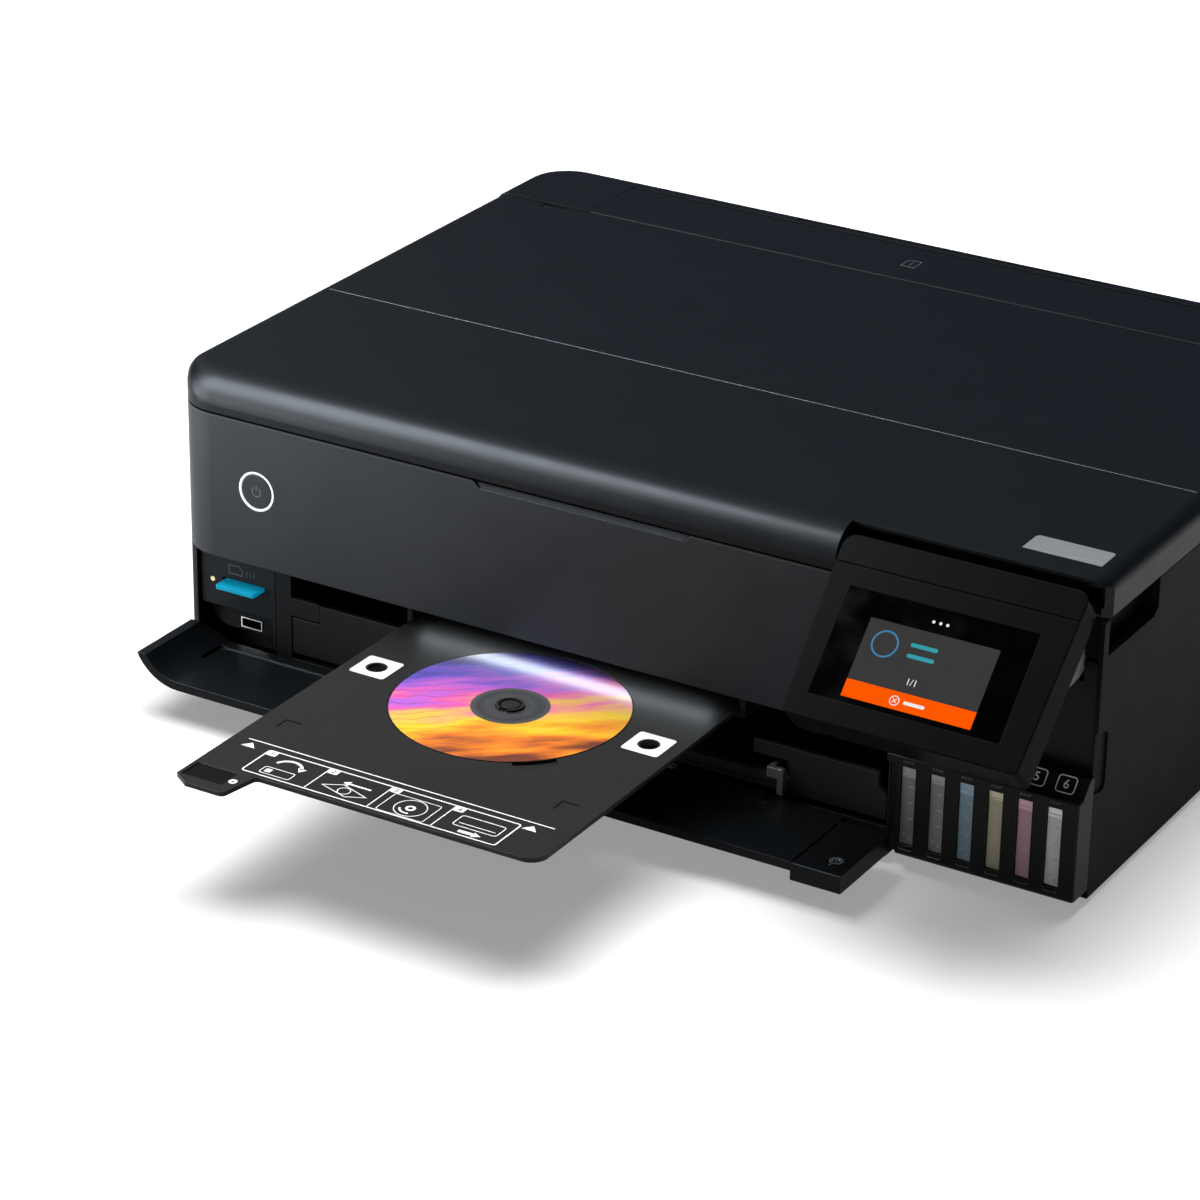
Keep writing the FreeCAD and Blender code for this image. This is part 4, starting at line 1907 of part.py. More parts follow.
FEED_ROLLER_Z = TRAY_BOTTOM_Z - FEED_GAP - FEED_ROLLER_RADIUS
EXIT_ROLLER_Z = TRAY_BOTTOM_Z - FEED_GAP - EXIT_ROLLER_RADIUS
PINCH_ROLLER_Z = TRAY_TOP_Z + PINCH_RAISED + PINCH_ROLLER_RADIUS


def chassis():
    """Folded sheet-metal frame: two side plates joined by the carriage rail."""
    plates = []
    for side in (-1, 1):
        x0 = side * SIDE_PLATE_X
        x1 = x0 + side * SIDE_PLATE_THICKNESS
        plates.append(
            prism_x(
                [
                    (SIDE_PLATE_FRONT_Y, SIDE_PLATE_BOTTOM_Z),
                    (SIDE_PLATE_REAR_Y, SIDE_PLATE_BOTTOM_Z),
                    (SIDE_PLATE_REAR_Y, 90.0),
                    (RAIL_Y + 22, SIDE_PLATE_TOP_Z),
                    (RAIL_Y - 6, SIDE_PLATE_TOP_Z),
                    (SIDE_PLATE_FRONT_Y, 74.0),
                ],
                min(x0, x1),
                max(x0, x1),
            )
        )
        foot_in = x0 - side * 12
        plates.append(
            block(
                min(x0, foot_in), max(x0, foot_in), 66, 94, BASE_FLOOR_Z, SIDE_PLATE_BOTTOM_Z + 1.2
            )
        )
    web = block(-SIDE_PLATE_X, SIDE_PLATE_X, RAIL_Y, RAIL_Y + SHEET, RAIL_BOTTOM_Z, RAIL_TOP_Z)
    low = block(
        -SIDE_PLATE_X, SIDE_PLATE_X, RAIL_Y, RAIL_Y + RAIL_FLANGE, RAIL_BOTTOM_Z, RAIL_BOTTOM_Z + SHEET
    )
    high = block(
        -SIDE_PLATE_X, SIDE_PLATE_X, RAIL_Y - RAIL_FLANGE + 5, RAIL_Y + SHEET,
        RAIL_TOP_Z - SHEET, RAIL_TOP_Z
    )
    shaft_holes = []
    for y, z in ((FEED_ROLLER_Y, FEED_ROLLER_Z), (EXIT_ROLLER_Y, EXIT_ROLLER_Z), (FEED_ROLLER_Y, PINCH_ROLLER_Z)):
        shaft_holes.append(
            rod("x", SHAFT_RADIUS + PIN_PLAY, (-SIDE_PLATE_X - 5, y, z), 2 * SIDE_PLATE_X + 10)
        )
    windows = [block(-SIDE_PLATE_X - 5, SIDE_PLATE_X + 5, 62, 88, 24, 60)]
    return cut(fuse(*plates, web, low, high), *shaft_holes, *windows)


def roller(y, z, radius, length, count, collar):
    """A steel shaft with one or more rubber rollers along it and an optional gear blank."""
    reach = SIDE_PLATE_X + SIDE_PLATE_THICKNESS + 2
    shaft = rod("x", SHAFT_RADIUS, (-reach, y, z), 2 * reach)
    parts = []
    for index in range(count):
        centre = (index - (count - 1) / 2) * ROLLER_PITCH
        parts.append(rod("x", radius, (centre - length / 2, y, z), length))
    if collar:
        parts.append(rod("x", collar, (SIDE_PLATE_X - 8, y, z), 6))
    return fuse(shaft, *parts)


def feed_roller():
    """Main paper feed roller: one long coated roller with its gear at the right end."""
    return roller(FEED_ROLLER_Y, FEED_ROLLER_Z, FEED_ROLLER_RADIUS, FEED_ROLLER_LENGTH, 1, 12.0)


def exit_roller():
    """Smaller exit roller behind the output slot."""
    return roller(EXIT_ROLLER_Y, EXIT_ROLLER_Z, EXIT_ROLLER_RADIUS, ROLLER_LENGTH, ROLLER_COUNT, 0)


def pinch_rollers():
    """Pinch rollers above the feed roller, raised to let the disc tray through."""
    return roller(FEED_ROLLER_Y, PINCH_ROLLER_Z, PINCH_ROLLER_RADIUS, ROLLER_LENGTH, ROLLER_COUNT, 0)


def platen():
    """Ribbed support under the print head."""
    top = PLATEN_TOP_Z
    slab = block(-PLATEN_HALF_WIDTH, PLATEN_HALF_WIDTH, PLATEN_FRONT_Y, PLATEN_REAR_Y, top - 10, top - 3)
    span = 2 * PLATEN_HALF_WIDTH - 8
    ribs = []
    for index in range(PLATEN_RIB_COUNT):
        x = -PLATEN_HALF_WIDTH + 4 + span * index / (PLATEN_RIB_COUNT - 1)
        ribs.append(
            prism_x(
                [
                    (PLATEN_FRONT_Y + 1, top - 3.5),
                    (PLATEN_REAR_Y - 1, top - 3.5),
                    (PLATEN_REAR_Y - 1, top - 1),
                    (PLATEN_REAR_Y - 6, top),
                    (PLATEN_FRONT_Y + 6, top),
                    (PLATEN_FRONT_Y + 1, top - 1),
                ],
                x - 0.8,
                x + 0.8,
            )
        )
    ends = []
    for side in (-1, 1):
        x0 = side * PLATEN_HALF_WIDTH
        x1 = side * SIDE_PLATE_X
        ends.append(block(min(x0, x1), max(x0, x1), PLATEN_FRONT_Y, PLATEN_FRONT_Y + 8, top - 10, top - 6))
    return fuse(slab, *ribs, *ends)


def carriage():
    """Print head carriage: open-topped box that hangs on the rail by a neck under the belt."""
    x0 = CARRIAGE_X - CARRIAGE_WIDTH / 2
    x1 = x0 + CARRIAGE_WIDTH
    y0 = CARRIAGE_FRONT_Y
    y1 = RAIL_Y - RUNNING_GAP
    box = block(x0, x1, y0, CARRIAGE_BACK_Y, CARRIAGE_BOTTOM_Z, CARRIAGE_TOP_Z)
    hollow = block(
        x0 + CARRIAGE_WALL,
        x1 - CARRIAGE_WALL,
        y0 + CARRIAGE_WALL,
        CARRIAGE_BACK_Y - CARRIAGE_WALL,
        CARRIAGE_BOTTOM_Z + CARRIAGE_WALL,
        CARRIAGE_TOP_Z + 1,
    )
    front_slope = prism_x(
        [(y0 - 1, 92.0), (y0 - 1, CARRIAGE_TOP_Z + 1), (y0 + 16, CARRIAGE_TOP_Z + 1)], x0 - 1, x1 + 1
    )
    pitch = CARRIAGE_WIDTH / TANK_COUNT
    ribs = [
        block(
            x0 + i * pitch - 0.8, x0 + i * pitch + 0.8, y0 + 1, CARRIAGE_BACK_Y - 1,
            CARRIAGE_BOTTOM_Z + 1, 88
        )
        for i in range(1, TANK_COUNT)
    ]
    left, right = CARRIAGE_X - CARRIAGE_NECK_HALF, CARRIAGE_X + CARRIAGE_NECK_HALF
    neck = block(left, right, CARRIAGE_BACK_Y - 1, y1, CARRIAGE_NECK_BOTTOM_Z, BELT_Z - BELT_WIDTH / 2 - 3)
    hook = block(left, right, y1 - 1.5, y1, CARRIAGE_NECK_BOTTOM_Z, RAIL_TOP_Z - SHEET - 1.0)
    return fuse(cut(fuse(cut(box, hollow), *ribs), front_slope), neck, hook)


def print_head():
    """Print head under the carriage, with its nozzle plate lowest."""
    x0 = CARRIAGE_X - HEAD_WIDTH / 2
    y0 = CARRIAGE_FRONT_Y + 8
    body = block(x0, x0 + HEAD_WIDTH, y0, y0 + HEAD_DEPTH, HEAD_BOTTOM_Z + 1, CARRIAGE_BOTTOM_Z)
    nozzle = block(x0 + 6, x0 + HEAD_WIDTH - 6, y0 + 5, y0 + HEAD_DEPTH - 5, HEAD_BOTTOM_Z, HEAD_BOTTOM_Z + 2)
    return fuse(body, nozzle)


PULLEY_BOTTOM_Z = BELT_Z - BELT_WIDTH / 2 - 0.4


def pulley(x):
    """Flanged belt pulley on an upright axis, bored for its shaft."""
    wheel = rod("z", PULLEY_RADIUS - BELT_THICKNESS / 2 - 0.1, (x, BELT_Y, PULLEY_BOTTOM_Z), BELT_WIDTH + 0.8)
    low = rod("z", PULLEY_RADIUS + 1, (x, BELT_Y, PULLEY_BOTTOM_Z - PULLEY_FLANGE), PULLEY_FLANGE)
    bore = rod("z", PULLEY_SHAFT + PIN_PLAY, (x, BELT_Y, PULLEY_BOTTOM_Z - 5), BELT_WIDTH + 14)
    return fuse(wheel, low).cut(bore)


def drive_pulley():
    """Motor-end pulley of the carriage belt."""
    return pulley(MOTOR_PULLEY_X)


def idler_pulley():
    """Far-end pulley of the carriage belt."""
    return pulley(IDLER_PULLEY_X)


def belt_loop(radius, z0, z1):
    """The plan area inside the belt's path, at a radius round both pulleys."""
    straight = block(MOTOR_PULLEY_X, IDLER_PULLEY_X, BELT_Y - radius, BELT_Y + radius, z0, z1)
    ends = [rod("z", radius, (x, BELT_Y, z0), z1 - z0) for x in (MOTOR_PULLEY_X, IDLER_PULLEY_X)]
    return fuse(straight, *ends)


def carriage_belt():
    """Toothed belt round the two pulleys, shown as a smooth band."""
    z0 = BELT_Z - BELT_WIDTH / 2
    z1 = z0 + BELT_WIDTH
    half = BELT_THICKNESS / 2
    return belt_loop(PULLEY_RADIUS + half, z0, z1).cut(belt_loop(PULLEY_RADIUS - half, z0 - 1, z1 + 1))


MOTOR_BRACKET_HALF = 11.0
BRACKET_SHEET = 2.0


def carriage_motor():
    """Carriage motor hung from a bracket on the rail, and the idler's bracket at the far end."""
    top = PULLEY_BOTTOM_Z - PULLEY_FLANGE - 0.3
    shaft_length = BELT_WIDTH + 5
    can = rod("z", MOTOR_RADIUS, (MOTOR_PULLEY_X, BELT_Y - 2, top - MOTOR_HEIGHT), MOTOR_HEIGHT)
    front_y = BELT_Y - 8
    bracket = block(
        MOTOR_PULLEY_X - MOTOR_BRACKET_HALF, MOTOR_PULLEY_X + MOTOR_BRACKET_HALF, front_y, RAIL_Y,
        top - BRACKET_SHEET, top
    )
    motor_shaft = rod("z", PULLEY_SHAFT, (MOTOR_PULLEY_X, BELT_Y, top), shaft_length)
    shelf = block(IDLER_PULLEY_X - 8, IDLER_PULLEY_X + 8, front_y, RAIL_Y, top - BRACKET_SHEET, top)
    idler_shaft = rod("z", PULLEY_SHAFT, (IDLER_PULLEY_X, BELT_Y, top), shaft_length)
    return group([fuse(can, bracket, motor_shaft), fuse(shelf, idler_shaft)])


# ---------------------------------------------------------------- boxes and boards


CAP_BODY_TOP_Z = 48.0
CAP_TOP_Z = 56.0
CAP_RIM = 2.0
CAP_WELL_DEPTH = 4.0
CAP_MARGIN = 4.0
CAP_WIPER_SIDE = 10.0
CAP_DRIVE_SIDE = 18.0
WIPER_WIDTH = 2.0
WIPER_TOP_Z = 60.0


def capping_station():
    """Cap and wiper unit where the head parks, at the right."""
    x0 = CAP_STATION_LEFT_X
    x1 = x0 + CAP_STATION_WIDTH
    y0, y1 = CAP_STATION_FRONT_Y, CAP_STATION_REAR_Y
    cap_left, cap_right = x0 + CAP_MARGIN, x1 - CAP_WIPER_SIDE
    cap_front, cap_rear = y0 + CAP_MARGIN, y1 - CAP_DRIVE_SIDE
    foot_z = CAP_BODY_TOP_Z - 1
    box = block(x0, x1, y0, y1, BASE_FLOOR_Z, CAP_BODY_TOP_Z)
    cap = block(cap_left, cap_right, cap_front, cap_rear, foot_z, CAP_TOP_Z)
    well = block(
        cap_left + CAP_RIM, cap_right - CAP_RIM, cap_front + CAP_RIM, cap_rear - CAP_RIM,
        CAP_TOP_Z - CAP_WELL_DEPTH, CAP_TOP_Z + 1
    )
    wiper = block(x1 - CAP_MARGIN - WIPER_WIDTH, x1 - CAP_MARGIN, cap_front, cap_rear, foot_z, WIPER_TOP_Z)
    return cut(fuse(box, cap, wiper), well)


MAINTENANCE_DEPTH = 76.0
MAINTENANCE_REAR_Y = REAR_Y - 9.5
MAINTENANCE_TOP_Z = 40.0
MAINTENANCE_HANDLE_Z = 25.0


def maintenance_box():
    """Waste ink box at the right rear, with its pull handle."""
    x0 = MAINTENANCE_LEFT_X
    handle_x = x0 + MAINTENANCE_WIDTH / 2
    handle_z = MAINTENANCE_HANDLE_Z
    box = block(
        x0, x0 + MAINTENANCE_WIDTH, MAINTENANCE_REAR_Y - MAINTENANCE_DEPTH, MAINTENANCE_REAR_Y,
        BASE_FLOOR_Z, MAINTENANCE_TOP_Z
    )
    handle = block(
        handle_x - 14, handle_x + 14, MAINTENANCE_REAR_Y - 1, MAINTENANCE_REAR_Y + 4,
        handle_z - 5, handle_z + 5
    )
    return fuse(box, handle)


INLET_HALF_WIDTH = 10.6
INLET_HALF_HEIGHT = 7.6
INLET_DEPTH = 18.0
INLET_MOUTH_RADIUS = 4.2
INLET_MOUTH_DEPTH = 14.0
INLET_PIN_X = 4.3
INLET_PIN_HALF = 1.1


def power_supply():
    """Power supply case at the left rear."""
    y1 = REAR_Y - CASE_WALL - 2.5
    case = block(
        SUPPLY_LEFT_X, SUPPLY_LEFT_X + SUPPLY_WIDTH, y1 - SUPPLY_DEPTH, y1,
        BASE_FLOOR_Z, BASE_FLOOR_Z + SUPPLY_HEIGHT
    )
    pocket = block(
        INLET_X - INLET_HALF_WIDTH - 0.4, INLET_X + INLET_HALF_WIDTH + 0.4, y1 - 16, y1 + 1,
        INLET_Z - INLET_HALF_HEIGHT - 0.4, INLET_Z + INLET_HALF_HEIGHT + 0.4
    )
    return case.cut(pocket)


def power_inlet():
    """Two-pin mains inlet in the rear wall."""
    y1 = REAR_Y - 0.5
    floor_y = y1 - INLET_MOUTH_DEPTH
    body = block(
        INLET_X - INLET_HALF_WIDTH, INLET_X + INLET_HALF_WIDTH, y1 - INLET_DEPTH, y1,
        INLET_Z - INLET_HALF_HEIGHT, INLET_Z + INLET_HALF_HEIGHT
    )
    pin_places = (INLET_X - INLET_PIN_X, INLET_X + INLET_PIN_X)
    round_ends = [
        rod("y", INLET_MOUTH_RADIUS, (x, floor_y, INLET_Z), INLET_MOUTH_DEPTH + 1)
        for x in pin_places
    ]
    middle = block(*pin_places, floor_y, y1 + 1, INLET_Z - INLET_MOUTH_RADIUS, INLET_Z + INLET_MOUTH_RADIUS)
    mouth = fuse(middle, *round_ends)
    pins = [
        block(
            x - INLET_PIN_HALF, x + INLET_PIN_HALF, floor_y - 1, y1 - 4,
            INLET_Z - INLET_PIN_HALF, INLET_Z + INLET_PIN_HALF
        )
        for x in pin_places
    ]
    return fuse(body.cut(mouth), *pins)


PORT_DEPTH = 16.0
USB_B_HALF = 4.4
USB_B_TONGUE = 2.6
LAN_HALF = 5.9
LAN_HALF_HEIGHT = 6.7


def rear_ports():
    """Square USB socket and network socket in the rear wall, on the main board's edge."""
    y1 = REAR_Y - 0.6
    y0 = y1 - PORT_DEPTH
    usb = block(USB_B_X - 6.0, USB_B_X + 6.0, y0, y1, PORT_Z - 6.0, PORT_Z + 5.6)
    usb_hole = block(
        USB_B_X - USB_B_HALF, USB_B_X + USB_B_HALF, y1 - 10, y1 + 1, PORT_Z - 4.2, PORT_Z + 4.2
    )
    tongue = block(
        USB_B_X - USB_B_TONGUE, USB_B_X + USB_B_TONGUE, y1 - 11, y1 - 2, PORT_Z - 1.5, PORT_Z + 1.5
    )
    lan = block(LAN_X - 8.0, LAN_X + 8.0, y0, y1, PORT_Z - LAN_HALF_HEIGHT, PORT_Z + LAN_HALF_HEIGHT)
    lan_hole = block(LAN_X - LAN_HALF, LAN_X + LAN_HALF, y1 - 12, y1 + 1, PORT_Z - 4.6, PORT_Z + 3.4)
    return group([fuse(usb.cut(usb_hole), tongue), lan.cut(lan_hole)])


BOARD_RIGHT_X = LAN_X + 16
BOARD_DEPTH = 70.0
BOARD_POST_X = (SUPPLY_LEFT_X + 10, SUPPLY_LEFT_X + SUPPLY_WIDTH - 6)
BOARD_POST_Y = (REAR_Y - 63.5, REAR_Y - 13.5)


def main_board():
    """Main circuit board lying above the power supply, behind the left side plate."""
    z0 = PORT_Z - LAN_HALF_HEIGHT - BOARD_THICKNESS
    board = block(
        SUPPLY_LEFT_X + 4, BOARD_RIGHT_X, REAR_Y - BOARD_DEPTH, REAR_Y - CASE_WALL - 1.5,
        z0, z0 + BOARD_THICKNESS
    )
    chips = [
        block(x, x + size, y, y + size, z0 + 1, z0 + top)
        for x, y, size, top in (
            (SUPPLY_LEFT_X + 22, REAR_Y - 61.5, 20, 5),
            (SUPPLY_LEFT_X + 52, REAR_Y - 57.5, 14, 4),
        )
    ]
    supply_top = BASE_FLOOR_Z + SUPPLY_HEIGHT
    posts = [
        block(x - 2, x + 2, y - 2, y + 2, supply_top, z0 + 0.5)
        for x in BOARD_POST_X
        for y in BOARD_POST_Y
    ]
    return fuse(board, *chips, *posts)


RIBBON_TANK_Z = 21.0
RIBBON_SHELF_Z = 67.0
RIBBON_THICKNESS = 3.0
RIBBON_OVER_RAIL = 5.0
RIBBON_RISE = 14.0
RIBBON_PLATE_GAP = 10.0


def ink_tube_ribbon():
    """Flat six-channel tube that leads ink from the tanks up to the carriage rail."""
    y0 = TANK_FACE_Y + TANK_DEPTH
    low, thick = RIBBON_TANK_Z, RIBBON_THICKNESS
    shelf = RIBBON_SHELF_Z
    high = RAIL_TOP_Z + RIBBON_OVER_RAIL
    rise_y = y0 + RIBBON_RISE
    up_y = SIDE_PLATE_FRONT_Y - RIBBON_PLATE_GAP
    profile = [
        (y0 + 0.3, low + thick),
        (rise_y, low + thick, 8.0),
        (rise_y, shelf + thick, 8.0),
        (up_y, shelf + thick, 8.0),
        (up_y, high + thick, 6.0),
        (RAIL_Y + 8.0, high + thick),
        (RAIL_Y + 8.0, high),
        (up_y + thick, high, 3.0),
        (up_y + thick, shelf, 11.0),
        (rise_y + thick, shelf, 5.0),
        (rise_y + thick, low, 11.0),
        (y0 + 0.3, low),
    ]
    ribbon = prism_x(profile, RIBBON_LEFT_X, RIBBON_LEFT_X + RIBBON_WIDTH)
    clip = block(
        RIBBON_LEFT_X - 2, RIBBON_LEFT_X + RIBBON_WIDTH + 2, RAIL_Y - 6, RAIL_Y, RAIL_TOP_Z, high
    )
    return fuse(ribbon, clip)


# ---------------------------------------------------------------- build

NODES = {
    "base_pan": base_pan,
    "feet": feet,
    "left_panel": left_panel,
    "right_panel": right_panel,
    "rear_panel": rear_panel,
    "rear_cover": rear_cover,
    "rear_deck": rear_deck,
    "rear_feed_cover": rear_feed_cover,
    "paper_support": paper_support,
    "hopper": hopper,
    "rear_guide": rear_guide,
    "front_fascia": front_fascia,
    "power_light_ring": power_light_ring,
    "power_button": power_button,
    "card_panel": card_panel,
    "card_light": card_light,
    "memory_card": memory_card,
    "usb_socket": usb_socket,
    "reader_board": reader_board,
    "slot_frame": slot_frame,
    "disc_guides": disc_guides,
    "disc_tray": disc_tray,
    "disc": disc,
    "main_cassette": main_cassette,
    "photo_cassette": photo_cassette,
    "paper_guide": paper_guide,
    "output_tray": output_tray,
    "front_door": front_door,
    "door_end_block": door_end_block,
    "tank_housing": tank_housing,
    "ink_tanks": ink_tanks,
    "filler_caps": filler_caps,
    "tank_cover": tank_cover,
    "control_panel": control_panel,
    "panel_back": panel_back,
    "panel_glass": panel_glass,
    "lid_cover": lid_cover,
    "lid_pad": lid_pad,
    "scanner_bed": scanner_bed,
    "scanner_glass": scanner_glass,
    "scan_bar": scan_bar,
    "top_hinge_pins": top_hinge_pins,
    "chassis": chassis,
    "feed_roller": feed_roller,
    "exit_roller": exit_roller,
    "pinch_rollers": pinch_rollers,
    "platen": platen,
    "carriage": carriage,
    "print_head": print_head,
    "drive_pulley": drive_pulley,
    "idler_pulley": idler_pulley,
    "carriage_belt": carriage_belt,
    "carriage_motor": carriage_motor,
    "capping_station": capping_station,
    "maintenance_box": maintenance_box,
    "power_supply": power_supply,
    "power_inlet": power_inlet,
    "rear_ports": rear_ports,
    "main_board": main_board,
    "ink_tube_ribbon": ink_tube_ribbon,
}

os.makedirs("parts", exist_ok=True)
for name, make in NODES.items():
    shape = make()
    shape.exportStep("parts/" + name + ".step")
    print(name, "solids", len(shape.Solids), "valid", shape.isValid(), "volume", round(shape.Volume))
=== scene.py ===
import math
import bmesh
import bpy
from mathutils import Matrix, Vector


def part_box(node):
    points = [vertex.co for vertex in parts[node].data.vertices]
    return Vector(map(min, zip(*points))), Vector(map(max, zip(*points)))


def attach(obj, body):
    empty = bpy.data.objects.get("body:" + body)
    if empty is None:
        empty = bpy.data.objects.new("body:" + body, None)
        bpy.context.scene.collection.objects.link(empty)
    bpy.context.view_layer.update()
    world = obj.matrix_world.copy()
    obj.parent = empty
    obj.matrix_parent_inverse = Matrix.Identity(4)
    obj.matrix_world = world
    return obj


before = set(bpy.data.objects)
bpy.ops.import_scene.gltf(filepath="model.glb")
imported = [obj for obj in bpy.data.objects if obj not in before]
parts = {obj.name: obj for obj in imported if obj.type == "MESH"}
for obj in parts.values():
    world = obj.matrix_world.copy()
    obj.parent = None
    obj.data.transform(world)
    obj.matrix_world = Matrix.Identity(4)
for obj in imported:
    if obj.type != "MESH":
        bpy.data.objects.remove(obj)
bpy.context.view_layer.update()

# Base pan and rubber feet.
# The pan is black moulded plastic that carries the whole printer, and five rubber pads are
# pressed into its underside.


def start_finish(name, roughness, metallic=0.0):
    """Opens an empty finish and gives its node tree, its surface shader and the place on the piece."""
    finish = bpy.data.materials.new(name)
    finish.use_nodes = True
    tree = finish.node_tree
    surface = tree.nodes["Principled BSDF"]
    surface.inputs["Roughness"].default_value = roughness
    surface.inputs["Metallic"].default_value = metallic
    place = tree.nodes.new("ShaderNodeTexCoord").outputs["Object"]
    return finish, tree, surface, place


def speckle(tree, place, size_mm, detail=2.0, stretch=(1, 1, 1)):
    """Noise whose grains are about that many millimetres across."""
    if stretch != (1, 1, 1):
        turn = tree.nodes.new("ShaderNodeMapping")
        turn.inputs["Scale"].default_value = stretch
        tree.links.new(place, turn.inputs["Vector"])
        place = turn.outputs["Vector"]
    noise = tree.nodes.new("ShaderNodeTexNoise")
    noise.inputs["Scale"].default_value = 1000 / size_mm
    noise.inputs["Detail"].default_value = detail
    tree.links.new(place, noise.inputs["Vector"])
    return noise.outputs["Fac"]


def fade(tree, value, low, high, start=0.35, end=0.65):
    """Maps a value from start..end to low..high."""
    change = tree.nodes.new("ShaderNodeMapRange")
    change.inputs["From Min"].default_value = start
    change.inputs["From Max"].default_value = end
    change.inputs["To Min"].default_value = low
    change.inputs["To Max"].default_value = high
    tree.links.new(value, change.inputs["Value"])
    return change.outputs["Result"]


def colour_band(tree, value, stops, sharp=False):
    """Colours along a value from 0 to 1."""
    band = tree.nodes.new("ShaderNodeValToRGB")
    if sharp:
        band.color_ramp.interpolation = "CONSTANT"
    for index, (position, colour) in enumerate(stops):
        if index < 2:
            stop = band.color_ramp.elements[index]
            stop.position = position
        else:
            stop = band.color_ramp.elements.new(position)
        stop.color = (*colour, 1)
    tree.links.new(value, band.inputs["Fac"])
    return band.outputs["Color"]


def relief(tree, surface, height, depth_mm, strength=1.0):
    """Raises the surface by that height pattern, over any relief that it already has."""
    bump = tree.nodes.new("ShaderNodeBump")
    bump.inputs["Strength"].default_value = strength
    bump.inputs["Distance"].default_value = depth_mm / 1000
    tree.links.new(height, bump.inputs["Height"])
    earlier = surface.inputs["Normal"].links
    if earlier:
        tree.links.new(earlier[0].from_socket, bump.inputs["Normal"])
    tree.links.new(bump.outputs["Normal"], surface.inputs["Normal"])


def shade(colour, factor):
    """The colour made lighter or darker."""
    return tuple(min(1.0, part * factor) for part in colour)


def near_edge(tree, surface, round_mm):
    """Rounds every sharp edge to the light, and gives 1 on an edge and 0 away from it."""
    rounding = tree.nodes.new("ShaderNodeBevel")
    rounding.samples = 4
    rounding.inputs["Radius"].default_value = round_mm / 1000
    tree.links.new(rounding.outputs["Normal"], surface.inputs["Normal"])
    bend = tree.nodes.new("ShaderNodeVectorMath")
    bend.operation = "DOT_PRODUCT"
    tree.links.new(rounding.outputs["Normal"], bend.inputs[0])
    tree.links.new(tree.nodes.new("ShaderNodeNewGeometry").outputs["Normal"], bend.inputs[1])
    return fade(tree, bend.outputs["Value"], 1.0, 0.0, 0.80, 0.97)


def blend(tree, factor, first, second):
    """Mixes a second colour over the first; each is a plain colour or the output of a node."""
    mix = tree.nodes.new("ShaderNodeMix")
    mix.data_type = "RGBA"
    tree.links.new(factor, mix.inputs["Factor"])
    for socket, colour in ((mix.inputs[6], first), (mix.inputs[7], second)):
        if isinstance(colour, tuple):
            socket.default_value = (*colour, 1)
        else:
            tree.links.new(colour, socket)
    return mix.outputs[2]


def moulded_plastic(
    name, colour, roughness, grain_mm=0.35, grain_depth=0.012, clouding=0.1, gloss=0.5, edge_wear_and_highlight=2.2
):
    """Injection-moulded plastic: tooled grain, slow clouding in the dye, edges lightened partly as rubbing
    wear and partly as a painted highlight, and an uneven gloss.
    """
    finish, tree, surface, place = start_finish(name, roughness)
    surface.inputs["Specular IOR Level"].default_value = gloss
    clouds = speckle(tree, place, 60, 3)
    dye = colour_band(tree, clouds, [(0.3, shade(colour, 1 - clouding)), (0.7, shade(colour, 1 + clouding))])
    # Edges are lightened by edge_wear_and_highlight: partly rubbing wear, partly a painted highlight along
    # every edge.
    rubbed = blend(tree, near_edge(tree, surface, 0.5), dye, shade(colour, edge_wear_and_highlight))
    tree.links.new(rubbed, surface.inputs["Base Color"])
    handled = speckle(tree, place, 22, 4)
    tree.links.new(fade(tree, handled, roughness - 0.015, roughness + 0.02), surface.inputs["Roughness"])
    relief(tree, surface, speckle(tree, place, grain_mm), grain_depth)
    return finish


def rubber(name, colour, roughness=0.75):
    """Rubber: fine moulding grain with pale dust in it."""
    finish, tree, surface, place = start_finish(name, roughness)
    dust = speckle(tree, place, 1.6, 5)
    bloom = colour_band(tree, dust, [(0.45, colour), (0.8, shade(colour, 2.2))])
    tree.links.new(bloom, surface.inputs["Base Color"])
    relief(tree, surface, speckle(tree, place, 0.5), 0.03)
    return finish


def dress(finish, *names):
    """Gives those parts the finish."""
    for name in names:
        for holder in parts[name].material_slots:
            holder.material = finish


shell_black = moulded_plastic("shell black", (0.0070, 0.0078, 0.0100), 0.5, 0.45, 0.010, 0.05, 0.02)
inner_black = moulded_plastic("inner black", (0.0085, 0.0085, 0.0088), 0.55, 0.6, 0.02, 0.12, 0.04, 4.0)
dress(shell_black, "base_pan", "left_panel", "right_panel", "rear_panel", "rear_cover")
dress(rubber("foot rubber", (0.018, 0.018, 0.018)), "feet")

# Frame, rollers and platen.
# The frame is zinc-plated steel and the platen black plastic. The feed roller has a coat of
# fine grit, and the exit and pinch rollers are rubber.


def plated_steel(name, colour, roughness, spangle_mm):
    """Zinc-plated steel: faint crystals and drawing marks."""
    finish, tree, surface, place = start_finish(name, roughness, 1.0)
    crystals = tree.nodes.new("ShaderNodeTexVoronoi")
    crystals.inputs["Scale"].default_value = 1000 / spangle_mm
    tree.links.new(place, crystals.inputs["Vector"])
    stops = [(0.0, shade(colour, 1.08)), (0.9, shade(colour, 0.82))]
    shine = colour_band(tree, crystals.outputs["Distance"], stops)
    tree.links.new(shine, surface.inputs["Base Color"])
    rubbed = speckle(tree, place, 3, 3, (1, 14, 1))
    tree.links.new(fade(tree, rubbed, roughness - 0.08, roughness + 0.12), surface.inputs["Roughness"])
    relief(tree, surface, rubbed, 0.01)
    return finish


